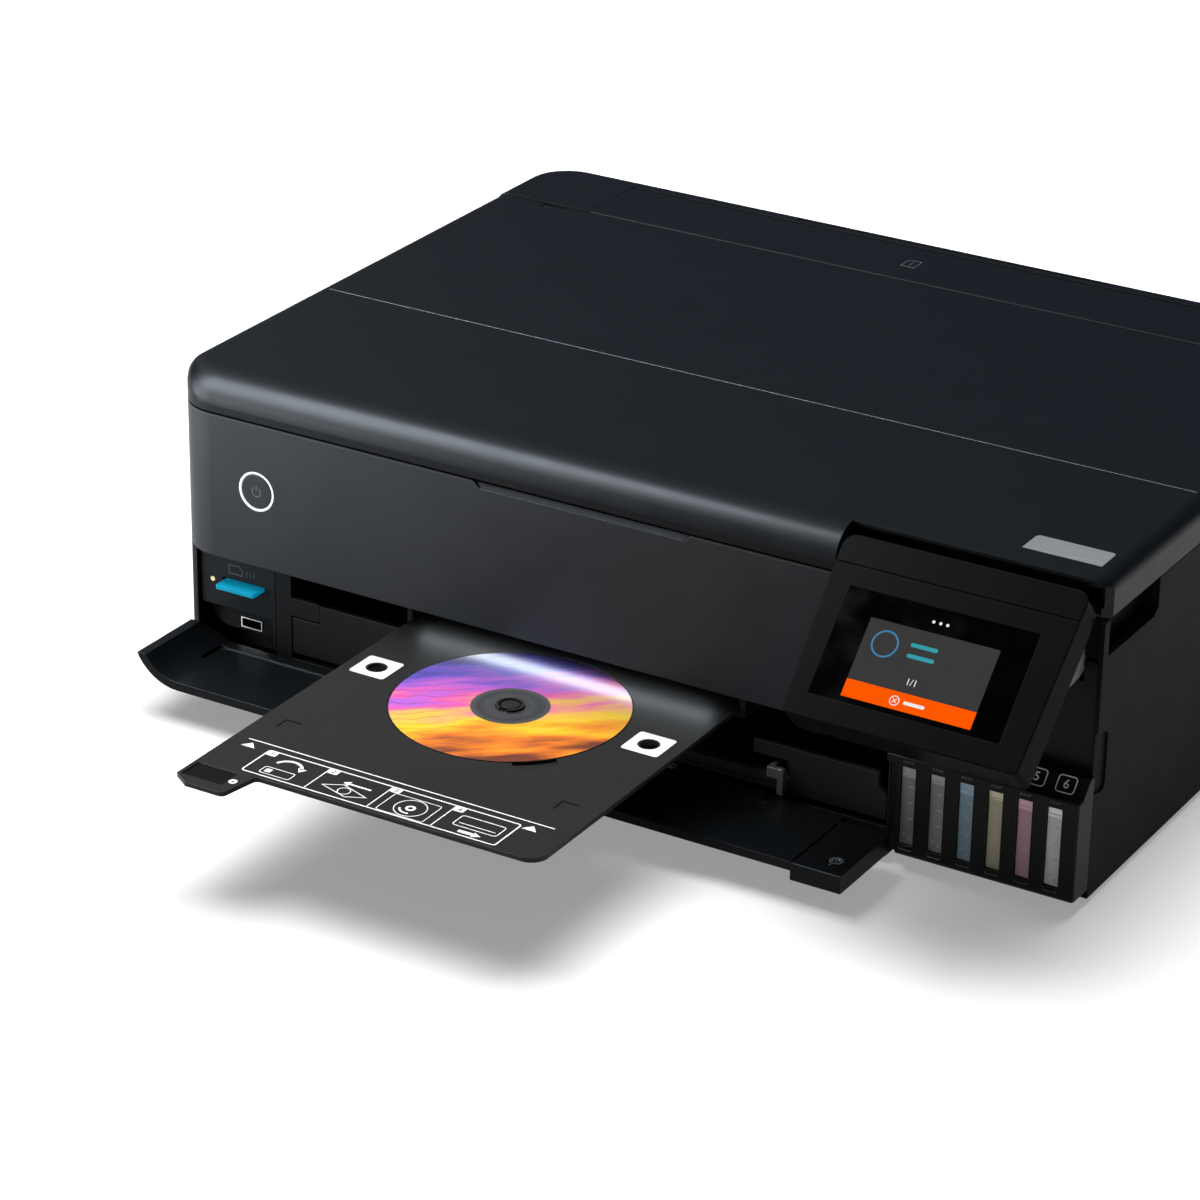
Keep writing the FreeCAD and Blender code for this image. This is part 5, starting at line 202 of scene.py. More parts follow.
frame_steel = plated_steel("frame steel", (0.52, 0.53, 0.54), 0.36, 7)
port_steel = plated_steel("port steel", (0.070, 0.071, 0.073), 0.42, 3)
dress(frame_steel, "chassis", "carriage_motor")
dress(port_steel, "rear_ports")
dress(moulded_plastic("grit coat", (0.11, 0.11, 0.115), 0.7, 0.25, 0.06, 0.2), "feed_roller")
dress(rubber("roller rubber", (0.035, 0.035, 0.036), 0.6), "exit_roller", "pinch_rollers")
dress(inner_black, "platen", "carriage", "hopper", "disc_guides", "slot_frame")
dress(moulded_plastic("head grey", (0.06, 0.06, 0.062), 0.5), "print_head")
dress(moulded_plastic("pulley nylon", (0.62, 0.60, 0.52), 0.45), "drive_pulley", "idler_pulley")
dress(rubber("belt rubber", (0.022, 0.022, 0.022), 0.65), "carriage_belt")
dress(moulded_plastic("pump grey", (0.10, 0.10, 0.105), 0.5), "capping_station", "maintenance_box")

# Power supply, boards and sockets.
# A sealed black supply stands at the rear left, and the green main board lies beside it with
# its connectors at the rear wall.


def circuit_board(name):
    """Green solder resist over copper tracks, with tinned pads."""
    finish, tree, surface, place = start_finish(name, 0.35)
    tracks = tree.nodes.new("ShaderNodeTexBrick")
    tracks.inputs["Scale"].default_value = 220
    tracks.inputs["Color1"].default_value = (0.008, 0.075, 0.030, 1)
    tracks.inputs["Color2"].default_value = (0.012, 0.100, 0.042, 1)
    tracks.inputs["Mortar"].default_value = (0.030, 0.190, 0.085, 1)
    tracks.inputs["Mortar Size"].default_value = 0.03
    tree.links.new(place, tracks.inputs["Vector"])
    tree.links.new(tracks.outputs["Color"], surface.inputs["Base Color"])
    relief(tree, surface, tracks.outputs["Fac"], 0.03)
    return finish


dress(moulded_plastic("supply black", (0.020, 0.020, 0.021), 0.6), "power_supply", "power_inlet")
dress(circuit_board("main board resist"), "main_board")
dress(inner_black, "reader_board")
dress(moulded_plastic("ink tube", (0.22, 0.22, 0.23), 0.3), "ink_tube_ribbon")

# Front fascia with the power button.
# One dark blue-grey moulding with a finger scoop in its top edge, and a paler lip that stands
# across the scoop's mouth. The button stands in a ring that is lit from behind.


def lit_ring(name, colour, strength):
    """Diffuser plastic with lamps behind it, a little brighter over each lamp."""
    finish, tree, surface, place = start_finish(name, 0.4)
    lamps = speckle(tree, place, 9, 1)
    glow = colour_band(tree, lamps, [(0.3, shade(colour, 0.85)), (0.7, colour)])
    tree.links.new(glow, surface.inputs["Base Color"])
    tree.links.new(glow, surface.inputs["Emission Color"])
    surface.inputs["Emission Strength"].default_value = strength
    return finish


def lay_plate(shape, outline, low, high, place):
    """Adds a closed plate between two heights; place turns its millimetres into the frame."""
    bottom = [shape.verts.new(place @ Vector((x, y, low))) for x, y in outline]
    top = [shape.verts.new(place @ Vector((x, y, high))) for x, y in outline]
    shape.faces.new(top)
    shape.faces.new(bottom[::-1])
    for here in range(len(outline)):
        after = (here + 1) % len(outline)
        shape.faces.new((bottom[here], bottom[after], top[after], top[here]))


def lay_ring(shape, outer, inner, low, high, place):
    """Adds a closed plate with a hole; both outlines have the same number of points."""
    rims = [
        [shape.verts.new(place @ Vector((x, y, height))) for x, y in outline]
        for outline, height in ((outer, low), (outer, high), (inner, high), (inner, low))
    ]
    for first in range(4):
        near, far = rims[first], rims[(first + 1) % 4]
        for here in range(len(outer)):
            after = (here + 1) % len(outer)
            shape.faces.new((near[here], near[after], far[after], far[here]))


def circle(x, y, radius, count=40, start=0.0, end=360.0):
    """Points on a circle or on an arc of it."""
    whole = end - start >= 360
    steps = count if whole else count - 1
    turns = [math.radians(start + (end - start) * index / steps) for index in range(count)]
    return [(x + radius * math.cos(turn), y + radius * math.sin(turn)) for turn in turns]


def rounded_box(x, y, width, height, corner, count=6):
    """Points round a box with rounded corners, from its top right corner."""
    points = []
    for turn, side_x, side_y in ((0, 1, 1), (90, -1, 1), (180, -1, -1), (270, 1, -1)):
        middle_x = x + side_x * (width / 2 - corner)
        middle_y = y + side_y * (height / 2 - corner)
        points += circle(middle_x, middle_y, corner, count, turn, turn + 90)
    return points


def lay_stroke(shape, points, width, low, high, place, closed=False):
    """Adds a line of that width through the points."""
    count = len(points)
    left, right = [], []
    for here, (x, y) in enumerate(points):
        before = points[here - 1] if closed or here else None
        after = points[(here + 1) % count] if closed or here < count - 1 else None
        into = Vector((x - before[0], y - before[1])).normalized() if before else None
        out = Vector((after[0] - x, after[1] - y)).normalized() if after else None
        along = ((into or out) + (out or into)).normalized()
        reach = width / 2 / max(0.4, along.dot(into or out))
        left.append((x - along.y * reach, y + along.x * reach))
        right.append((x + along.y * reach, y - along.x * reach))
    if closed:
        lay_ring(shape, left, right, low, high, place)
    else:
        lay_plate(shape, right + left[::-1], low, high, place)


def finish_piece(shape, name, body, finish):
    """Closes the drawn shape into a named piece of the printer."""
    bmesh.ops.recalc_face_normals(shape, faces=shape.faces)
    mesh = bpy.data.meshes.new(name)
    shape.to_mesh(mesh)
    shape.free()
    mesh.materials.append(finish)
    piece = bpy.data.objects.new(name, mesh)
    bpy.context.scene.collection.objects.link(piece)
    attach(piece, body)
    return piece


MM = Matrix.Scale(0.001, 4)
FACING_FRONT = Matrix(((1, 0, 0, 0), (0, 0, -1, 0), (0, 1, 0, 0), (0, 0, 0, 1)))

fascia_blue = moulded_plastic("fascia blue black", (0.0058, 0.0076, 0.0110), 0.42, 0.5, 0.008, 0.04, 0.15)
dress(fascia_blue, "power_button")


def along_axis(tree, axis, place=None):
    """Distance along that axis in metres, of the piece itself or of another place."""
    split = tree.nodes.new("ShaderNodeSeparateXYZ")
    if place is None:
        place = tree.nodes.new("ShaderNodeTexCoord").outputs["Object"]
    tree.links.new(place, split.inputs["Vector"])
    return split.outputs[axis]


def fascia_painted_rim_light(name, rim_mm, step_mm):
    """The fascia plastic with a painted highlight band from step_mm under rim_mm up to rim_mm, and painted
    shade above rim_mm.
    """
    finish = fascia_blue.copy()
    finish.name = name
    tree = finish.node_tree
    paint = tree.nodes["Principled BSDF"].inputs["Base Color"]
    height = along_axis(tree, "Z")
    painted_highlight, painted_shade = (0.050, 0.060, 0.072), (0.0004, 0.0004, 0.0005)
    # Painted highlight where the top edge catches light, then painted shade in the seam above it.
    for turn_mm, colour in ((rim_mm - step_mm, painted_highlight), (rim_mm, painted_shade)):
        on_painted_line = fade(tree, height, 0, 1, (turn_mm - 0.05) / 1000, (turn_mm + 0.05) / 1000)
        tree.links.new(blend(tree, on_painted_line, paint.links[0].from_socket, colour), paint)
    return finish


# A painted highlight line and a painted shade line run along the fascia's top edge.
dress(fascia_painted_rim_light("fascia painted rim light", 147.5, 0.45), "front_fascia")
dress(lit_ring("button light", (0.80, 0.86, 1.0), 0.9), "power_light_ring")

button_x, button_z = -206.6, 110.8
button_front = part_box("power_button")[0].y * 1000
on_button = MM @ Matrix.Translation((button_x, button_front, button_z)) @ FACING_FRONT
raised = (0.0, 0.05)
shape = bmesh.new()
lay_stroke(shape, circle(0, -0.2, 2.6, 24, 125, 415), 0.5, *raised, on_button)
lay_stroke(shape, [(0, 0.6), (0, 3.2)], 0.5, *raised, on_button)
mark_grey = moulded_plastic("mark grey", (0.10, 0.11, 0.12), 0.4)
power_mark = finish_piece(shape, "power_mark", "power_button", mark_grey)

grip_left, grip_right, grip_bottom, grip_top = -75.5, 51.0, 144.7, 148.2
top_inset, bottom_inset, top_y, bottom_y, lip_thickness = 0.4, 5.6, -187.0, -189.3, 1.2
shape = bmesh.new()
lip = [
    (grip_left + top_inset, top_y, grip_top),
    (grip_left + bottom_inset, bottom_y, grip_bottom),
    (grip_right - bottom_inset, bottom_y, grip_bottom),
    (grip_right - top_inset, top_y, grip_top),
]
faces = [
    [shape.verts.new(Vector((x, y + back, z)) / 1000) for x, y, z in lip]
    for back in (0.0, lip_thickness)
]
shape.faces.new(faces[0])
shape.faces.new(faces[1][::-1])
for here in range(4):
    after = (here + 1) % 4
    shape.faces.new((faces[0][here], faces[1][here], faces[1][after], faces[0][after]))
lip_grey = moulded_plastic("lip grey", (0.110, 0.122, 0.138), 0.5, 0.4, 0.008, 0.05, 0.02)
grip_lip = finish_piece(shape, "grip_lip", "case", lip_grey)

# Card and USB ports.
# The block at the left holds a card slot, its warm lamp, a sky-blue memory card and a
# USB socket in a recess, with small moulded marks beside them.
dress(moulded_plastic("port block", (0.0100, 0.0125, 0.0160), 0.52, 0.5, 0.01, 0.1, 0.05), "card_panel")
dress(lit_ring("card lamp", (1.0, 0.84, 0.45), 0.6), "card_light")
card_blue_painted_glow = moulded_plastic("card blue painted glow", (0.002, 0.62, 1.0), 0.38, 0.3, 0.006, 0.05, 0.05, 1.0)
# The memory card glows faintly in its own blue, a painted glow that lifts it out of the shade under the
# fascia.
card_surface = card_blue_painted_glow.node_tree.nodes["Principled BSDF"]
card_surface.inputs["Emission Color"].default_value = (0.002, 0.62, 1.0, 1.0)
card_surface.inputs["Emission Strength"].default_value = 0.2
dress(card_blue_painted_glow, "memory_card")

socket_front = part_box("usb_socket")[0].y
socket_steel, tree, surface, place = start_finish("socket steel", 0.35, 1.0)
# Beyond the first 0.4 mm of the socket's mouth the steel is painted near black, as painted shade inside the
# socket.
unshaded_rim_depth = 0.0004
depth = fade(tree, along_axis(tree, "Y", place), 0.0, 1.0, socket_front, socket_front + unshaded_rim_depth)
steel_rim_and_painted_shade = colour_band(tree, depth, [(0.4, (0.86, 0.86, 0.84)), (0.8, (0.012, 0.012, 0.013))])
tree.links.new(steel_rim_and_painted_shade, surface.inputs["Base Color"])
relief(tree, surface, speckle(tree, place, 0.6), 0.006)
dress(socket_steel, "usb_socket")

port_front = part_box("card_panel")[0].y * 1000
on_ports = MM @ Matrix.Translation((0, port_front, 0)) @ FACING_FRONT
shape = bmesh.new()
card_outline = [(-229, 57.4), (-229, 62.4), (-222.6, 62.4), (-220.6, 60.2), (-220.6, 57.4)]
lay_stroke(shape, card_outline, 0.5, *raised, on_ports, True)
for mark in range(3):
    mark_x = -217.8 + mark * 2.2
    lay_stroke(shape, [(mark_x, 57.6), (mark_x, 60.6)], 0.5, *raised, on_ports)
mark_black = moulded_plastic("mark black", (0.002, 0.002, 0.002), 0.3)
card_mark = finish_piece(shape, "card_mark", "case", mark_black)

# Disc tray with its printed marks.
# A flat dark grey plate slides in at the front. White ink shows where the disc and the guides
# go, in four numbered steps of plain drawings.
dress(moulded_plastic("tray grey", (0.0200, 0.0197, 0.0194), 0.42, 0.4, 0.005, 0.05, 0.08), "disc_tray")


def printing_ink(name, colour):
    """Screen-printed ink: thin spots let the plastic show."""
    finish, tree, surface, place = start_finish(name, 0.5)
    surface.inputs["Specular IOR Level"].default_value = 0.05
    cover = speckle(tree, place, 1.2, 4)
    ink = colour_band(tree, cover, [(0.25, shade(colour, 0.88)), (0.5, colour)])
    tree.links.new(ink, surface.inputs["Base Color"])
    relief(tree, surface, speckle(tree, place, 0.4), 0.01)
    return finish


def lay_number(shape, text, height, x, y, low, high, place):
    """Adds plain figures of that height, centred on x, y."""
    figures = bpy.data.curves.new("figures", "FONT")
    figures.body = text
    figures.size = height / 0.72
    figures.align_x = "CENTER"
    figures.align_y = "CENTER"
    figures.extrude = (high - low) / 2
    holder = bpy.data.objects.new("figures", figures)
    bpy.context.scene.collection.objects.link(holder)
    bpy.context.view_layer.update()
    mesh = bpy.data.meshes.new_from_object(holder.evaluated_get(bpy.context.evaluated_depsgraph_get()))
    mesh.transform(place @ Matrix.Translation((x, y, (low + high) / 2)))
    shape.from_mesh(mesh)
    bpy.data.objects.remove(holder)
    bpy.data.curves.remove(figures)
    bpy.data.meshes.remove(mesh)


white_ink = printing_ink("white ink", (0.96, 0.96, 0.96))
black_ink_and_shade = printing_ink("black ink and painted shade", (0.004, 0.004, 0.004))
tray_top = 58.5
on_tray = MM @ Matrix.Translation((0, 0, tray_top))
ink_low, ink_high = 0.0, 0.06
tray_ink = (ink_low, ink_high, on_tray)
disc_x, disc_y, disc_radius = -20.7, -239.6, 60

shape = bmesh.new()
for middle_x in (disc_x - 79.3, disc_x + 78.0):
    outer = rounded_box(middle_x, disc_y + 1.0, 20.5, 20.5, 1.8, 10)
    inner = circle(middle_x, disc_y + 1.0, 5.6, 40)
    lay_ring(shape, outer, inner, *tray_ink)
lay_stroke(shape, [(-108.0, -336.7), (64.7, -336.7)], 0.75, *tray_ink)
for tip_x in (-103.6, 55.1):
    lay_plate(shape, [(tip_x - 4.0, -344.2), (tip_x + 4.0, -344.2), (tip_x, -339.6)], *tray_ink)
lay_ring(shape, circle(-88.3, -377.7, 2.2, 24), circle(-88.3, -377.7, 0.7, 24), *tray_ink)

step_left, step_right, step_top, step_bottom = -92.3, 49.6, -341.5, -365.2
step_width = (step_right - step_left) / 4
middle = ((step_left + step_right) / 2, (step_top + step_bottom) / 2)
border = rounded_box(*middle, step_right - step_left, step_top - step_bottom, 1.5, 4)
lay_stroke(shape, border, 0.8, *tray_ink, True)
for wall in range(1, 4):
    wall_x = step_left + wall * step_width
    lay_stroke(shape, [(wall_x, step_bottom), (wall_x, step_top)], 0.6, *tray_ink)
tag_in, tag_down = 3.2, 2.6
for step in range(4):
    left = step_left + step * step_width
    tag = rounded_box(left + tag_in, step_top - tag_down, 5.4, 4.4, 0.8, 4)
    lay_plate(shape, tag, *tray_ink)
    x, y = left + 17.5, middle[1] - 1.0
    if step == 0:
        lay_stroke(shape, circle(x, y + 1, 7.5, 24, 20, 160), 1.6, *tray_ink)
        lay_plate(shape, [(x + 4.6, y + 4.6), (x + 9.6, y + 4.6), (x + 7.1, y + 0.8)], *tray_ink)
        lay_stroke(shape, rounded_box(x - 1, y - 5, 17, 6.5, 1.2, 3), 0.5, *tray_ink, True)
        lay_plate(shape, rounded_box(x - 6, y - 5, 3.4, 3.4, 0.6, 3), *tray_ink)
    elif step == 1:
        sheet = [(x - 12, y - 3), (x + 4, y - 8), (x + 13, y - 3.5), (x - 3, y + 2)]
        lay_stroke(shape, sheet, 0.55, *tray_ink, True)
        lay_stroke(shape, circle(x + 0.5, y - 3.2, 3.2, 20), 0.5, *tray_ink, True)
        lay_stroke(shape, [(x - 1, y + 4), (x + 11, y + 4)], 1.2, *tray_ink)
        lay_plate(shape, [(x - 1, y + 1.8), (x - 1, y + 6.4), (x - 4.6, y + 4.1)], *tray_ink)
    elif step == 2:
        lay_stroke(shape, circle(x + 1, y - 1, 8.0, 32), 0.5, *tray_ink, True)
        lay_ring(shape, circle(x + 1, y - 1, 2.6, 24), circle(x + 1, y - 1, 1.2, 24), *tray_ink)
        lay_stroke(shape, rounded_box(x, y - 1, 26, 18, 1.2, 3), 0.45, *tray_ink, True)
        lay_stroke(shape, circle(x + 1, y - 1, 5.2, 14, 200, 290), 1.0, *tray_ink)
    elif step == 3:
        lay_stroke(shape, rounded_box(x + 2, y + 1.5, 24, 10, 1.4, 3), 0.55, *tray_ink, True)
        lay_stroke(shape, [(x - 8, y - 0.5), (x + 12, y - 0.5)], 0.5, *tray_ink)
        lay_plate(shape, [(x - 4, y - 8.6), (x + 4, y - 8.6), (x + 4, y - 6.4), (x - 4, y - 6.4)], *tray_ink)
        lay_plate(shape, [(x + 4, y - 9.8), (x + 8.4, y - 7.5), (x + 4, y - 5.2)], *tray_ink)
tray_print = finish_piece(shape, "tray_print", "disc_tray", white_ink)

recess_z, recess_half = 57.8, 0.05
recess_left, recess_right, recess_front, recess_back = -114.1, -90.8, -383.4, -369.6
figure_height, figure_thickness = 3.2, 0.04
shape = bmesh.new()
for step in range(4):
    tag_x = step_left + step * step_width + tag_in
    tag = (str(step + 1), figure_height, tag_x, step_top - tag_down)
    lay_number(shape, *tag, ink_high, ink_high + figure_thickness, on_tray)
for corner_x, corner_y in ((-104.2, -310.7), (53.3, -311.0)):
    bracket = [(corner_x, corner_y - 8.6), (corner_x, corner_y), (corner_x + 8.8, corner_y)]
    lay_stroke(shape, bracket, 1.2, *tray_ink)
# The black plate on the floor of the tray's tab recess is painted shade, not ink.
recess_shade_plate = [
    (recess_left, recess_front),
    (recess_right, recess_front),
    (recess_right, recess_back),
    (recess_left, recess_back),
]
lay_plate(shape, recess_shade_plate, recess_z - recess_half, recess_z + recess_half, MM)
tray_figures_and_shade = finish_piece(shape, "tray_figures_and_shade", "disc_tray", black_ink_and_shade)

# Printable disc.
# A polycarbonate disc with a printed face of flowing warm and violet colour, and a clear
# grey hub that stays unprinted.


def combine(tree, operation, first, second):
    """Joins two values by that step of arithmetic."""
    step = tree.nodes.new("ShaderNodeMath")
    step.operation = operation
    tree.links.new(first, step.inputs[0])
    tree.links.new(second, step.inputs[1])
    return step.outputs["Value"]


def printed_disc(name):
    """Inkjet print on a glossy disc: bands of colour flow across it, with rows of fine ripples."""
    finish, tree, surface, place = start_finish(name, 0.26)
    surface.inputs["Coat Weight"].default_value = 0.2
    surface.inputs["Coat Roughness"].default_value = 0.2
    centre = tree.nodes.new("ShaderNodeMapping")
    centre.inputs["Location"].default_value = (-disc_x / disc_radius, -disc_y / disc_radius, 0)
    centre.inputs["Scale"].default_value = (1000 / disc_radius, 1000 / disc_radius, 0)
    tree.links.new(place, centre.inputs["Vector"])
    spot = centre.outputs["Vector"]

    turn = tree.nodes.new("ShaderNodeMapping")
    turn.inputs["Rotation"].default_value = (0, 0, math.radians(-38))
    tree.links.new(spot, turn.inputs["Vector"])
    flow = tree.nodes.new("ShaderNodeTexNoise")
    flow.inputs["Scale"].default_value = 1.3
    flow.inputs["Detail"].default_value = 4
    stretched = tree.nodes.new("ShaderNodeMapping")
    stretched.inputs["Scale"].default_value = (0.8, 3.2, 1)
    tree.links.new(turn.outputs["Vector"], stretched.inputs["Vector"])
    tree.links.new(stretched.outputs["Vector"], flow.inputs["Vector"])
    sway = fade(tree, flow.outputs["Fac"], -0.34, 0.34, 0.3, 0.7)
    swayed = combine(tree, "ADD", along_axis(tree, "Y", turn.outputs["Vector"]), sway)
    across = fade(tree, swayed, 0, 1, -1, 1)
    colours = colour_band(
        tree,
        across,
        [
            (0.02, (0.16, 0.030, 0.006)),
            (0.16, (0.85, 0.20, 0.004)),
            (0.34, (0.95, 0.62, 0.010)),
            (0.47, (0.96, 0.42, 0.16)),
            (0.57, (0.86, 0.11, 0.42)),
            (0.68, (0.52, 0.12, 0.70)),
            (0.82, (0.13, 0.08, 0.60)),
            (1.0, (0.03, 0.02, 0.22)),
        ],
    )
    waves = tree.nodes.new("ShaderNodeTexWave")
    waves.bands_direction = "Y"
    waves.inputs["Scale"].default_value = 3.2
    waves.inputs["Distortion"].default_value = 7.0
    waves.inputs["Detail"].default_value = 2.0
    waves.inputs["Detail Scale"].default_value = 0.9
    tree.links.new(turn.outputs["Vector"], waves.inputs["Vector"])
    lines = fade(tree, waves.outputs["Fac"], 0, 0.75, 0.90, 0.985)
    left_side = fade(tree, along_axis(tree, "X", turn.outputs["Vector"]), 0.5, 0, -0.75, 0.15)
    both = combine(tree, "MULTIPLY", lines, left_side)
    rippled = blend(tree, both, colours, (0.10, 0.012, 0.030))

    reach = tree.nodes.new("ShaderNodeVectorMath")
    reach.operation = "LENGTH"
    tree.links.new(spot, reach.inputs[0])
    zones = colour_band(
        tree,
        reach.outputs["Value"],
        [
            (0.0, (0, 0, 0)),
            (0.325, (0, 0, 0)),
            (0.333, (1, 1, 1)),
            (0.990, (1, 1, 1)),
            (0.998, (0, 0, 0)),
        ],
    )
    hub = colour_band(
        tree,
        reach.outputs["Value"],
        [
            (0.0, (0.03, 0.03, 0.031)),
            (0.20, (0.050, 0.050, 0.052)),
            (0.26, (0.026, 0.026, 0.027)),
            (0.30, (0.060, 0.060, 0.060)),
            (0.60, (0.004, 0.004, 0.004)),
        ],
    )
    tree.links.new(blend(tree, zones, hub, rippled), surface.inputs["Base Color"])
    return finish


dress(printed_disc("printed disc"), "disc")

# Paper cassettes, paper guide and output tray.
# Two dark grey drawers lie one over the other under the disc tray. A lighter clip slides along
# the upper one to hold the paper edge.
cassette_grey = moulded_plastic("cassette grey", (0.0250, 0.0248, 0.0245), 0.5, 0.5, 0.012, 0.08, 0.04, 3.0)
dress(cassette_grey, "main_cassette", "photo_cassette", "output_tray", "rear_guide")
dress(moulded_plastic("guide grey", (0.075, 0.075, 0.078), 0.45), "paper_guide")

# Front door and its end block.
# The door folds down on two lugs. Its skin has a raised field with a fine step line, and a
# separate block with one screw closes its right end. The printed mark is set at the height of
# the door's top edge, and so stands 11.5 mm clear of the skin beneath it.
door_black = moulded_plastic(
    "door blue black", (0.0040, 0.0050, 0.0062), 0.34, 0.5, 0.006, 0.06, 0.06, 3.5
)
dress(door_black, "front_door", "door_end_block")

screw_x, screw_y = 157.3, -231.6
block_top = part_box("door_end_block")[1].z * 1000
on_block = MM @ Matrix.Translation((screw_x, screw_y, block_top))
shape = bmesh.new()
lay_ring(shape, circle(0, 0, 3.6, 32), circle(0, 0, 2.3, 32), -0.2, 0.25, on_block)
arm_length, cross_turn = 3.0, 20
for turn in (0, 90):
    angle = math.radians(turn + cross_turn)
    tip_x, tip_y = arm_length * math.cos(angle), arm_length * math.sin(angle)
    lay_stroke(shape, [(tip_x, tip_y), (-tip_x, -tip_y)], 0.8, -0.1, 0.2, on_block)
bright_steel = plated_steel("bright steel", (0.68, 0.68, 0.67), 0.22, 3)
door_screw = finish_piece(shape, "door_screw", "front_door", bright_steel)

door_top = MM @ Matrix.Translation((51.6, -206.9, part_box("front_door")[1].z * 1000))
shape = bmesh.new()
mark_ink = printing_ink("mark ink", (0.30, 0.30, 0.30))
lay_stroke(shape, rounded_box(0, 0, 5.0, 4.0, 0.9, 4), 0.7, -0.3, 0.05, door_top, True)
lay_plate(shape, rounded_box(0, 0, 2.0, 1.6, 0.5, 4), -0.3, 0.05, door_top)
door_mark = finish_piece(shape, "door_mark", "front_door", mark_ink)

# Ink tanks behind their windows.
# Six clear tanks stand side by side. Each shows its ink through a slot in the black housing,
# with a pale band of air above it and moulded level marks.
tank_count, first_tank_x, tank_pitch = 6, 160.7, 15.42
ink_shades = [
    (0.205, 0.205, 0.208),
    (0.210, 0.212, 0.220),
    (0.150, 0.250, 0.330),
    (0.400, 0.355, 0.220),
    (0.420, 0.225, 0.280),
    (0.560, 0.560, 0.565),
]


def ink_in_tank(name):
    """Milky polypropylene with ink behind it: a colour for each tank, and air above the level."""
    finish, tree, surface, place = start_finish(name, 0.38)
    surface.inputs["Coat Weight"].default_value = 0.2
    row_end = (first_tank_x + tank_count * tank_pitch) / 1000
    along = fade(tree, along_axis(tree, "X", place), 0, 1, first_tank_x / 1000, row_end)
    levels = [0.0505, 0.0510, 0.0500, 0.0515, 0.0505, 0.0508]
    full, air, level = (
        colour_band(tree, along, [(index / tank_count, tone) for index, tone in enumerate(tones)], True)
        for tones in (
            ink_shades,
            [shade(ink, 1.9) for ink in ink_shades],
            [(depth * 10,) * 3 for depth in levels],
        )
    )
    height = fade(tree, along_axis(tree, "Z", place), 0, 1, 0.0, 0.1)
    above = fade(tree, combine(tree, "SUBTRACT", height, level), 0, 1, -0.004, 0.004)
    tree.links.new(blend(tree, above, full, air), surface.inputs["Base Color"])
    relief(tree, surface, speckle(tree, place, 2.5, 3), 0.04)
    return finish


dress(ink_in_tank("tank ink"), "ink_tanks")
housing_black = moulded_plastic(
    "housing black", (0.0080, 0.0080, 0.0082), 0.38, 0.5, 0.008, 0.08, 0.06, 6.0
)
dress(housing_black, "tank_housing", "tank_cover")
dress(moulded_plastic("cap black", (0.012, 0.012, 0.012), 0.5), "filler_caps")


def row_tree():
    """Builds the tree that sets one piece again and again at an even step."""
    tree = bpy.data.node_groups.new("even row", "GeometryNodeTree")
    for name, kind in (
        ("Piece", "NodeSocketGeometry"),
        ("Count", "NodeSocketInt"),
        ("Start", "NodeSocketVector"),
        ("Step", "NodeSocketVector"),
        ("Finish", "NodeSocketMaterial"),
    ):
        tree.interface.new_socket(name, in_out="INPUT", socket_type=kind)
    tree.interface.new_socket("Row", in_out="OUTPUT", socket_type="NodeSocketGeometry")
    given = tree.nodes.new("NodeGroupInput")
    line = tree.nodes.new("GeometryNodeMeshLine")
    setting = tree.nodes.new("GeometryNodeInstanceOnPoints")
    real = tree.nodes.new("GeometryNodeRealizeInstances")
    painted = tree.nodes.new("GeometryNodeSetMaterial")
    result = tree.nodes.new("NodeGroupOutput")
    tree.links.new(given.outputs["Count"], line.inputs["Count"])
    tree.links.new(given.outputs["Start"], line.inputs["Start Location"])
    tree.links.new(given.outputs["Step"], line.inputs["Offset"])
    tree.links.new(line.outputs["Mesh"], setting.inputs["Points"])
    tree.links.new(given.outputs["Piece"], setting.inputs["Instance"])
    tree.links.new(setting.outputs["Instances"], real.inputs["Geometry"])
    tree.links.new(real.outputs["Geometry"], painted.inputs["Geometry"])
    tree.links.new(given.outputs["Finish"], painted.inputs["Material"])
    tree.links.new(painted.outputs["Geometry"], result.inputs["Row"])
    return tree


even_row = row_tree()


def set_row(shape, name, body, start, finish):
    """Repeats the drawn shape from that start, in metres, once for each tank, as one piece."""
    bmesh.ops.recalc_face_normals(shape, faces=shape.faces)
    mesh = bpy.data.meshes.new(name)
    shape.to_mesh(mesh)
    shape.free()
    piece = bpy.data.objects.new(name, mesh)
    bpy.context.scene.collection.objects.link(piece)
    repeat = piece.modifiers.new("row", "NODES")
    repeat.node_group = even_row
    step = (tank_pitch / 1000, 0, 0)
    wanted = {"Count": tank_count, "Start": start, "Step": step, "Finish": finish}
    for socket in even_row.interface.items_tree:
        if socket.in_out == "INPUT" and socket.name in wanted:
            repeat[socket.identifier] = wanted[socket.name]
    bpy.context.view_layer.update()
    seen = piece.evaluated_get(bpy.context.evaluated_depsgraph_get())
    made = bpy.data.meshes.new_from_object(seen)
    piece.modifiers.clear()
    piece.data = made
    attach(piece, body)
    return piece


tank_face = -187.95
on_tank = MM @ Matrix.Translation((0, tank_face, 0)) @ FACING_FRONT
tank_relief, housing_relief = (0.0, 0.12), (-0.02, 0.1)
window_start = (0.1684, 0, 0)
level_mark = moulded_plastic("level mark", (0.30, 0.31, 0.32), 0.35)
shape = bmesh.new()
for height in (45.5, 37.0, 28.5):
    lay_stroke(shape, [(3.9, height), (6.6, height)], 0.45, *tank_relief, on_tank)
lay_stroke(shape, [(1.4, 20.0), (3.6, 20.0)], 0.45, *tank_relief, on_tank)
lay_stroke(shape, [(4.4, 16.4), (5.6, 18.6), (6.8, 16.4)], 0.4, *tank_relief, on_tank)
lay_stroke(shape, [(0.8, 52.4), (6.8, 52.4)], 0.4, *tank_relief, on_tank)
tank_marks = set_row(shape, "tank_marks", "case", window_start, level_mark)

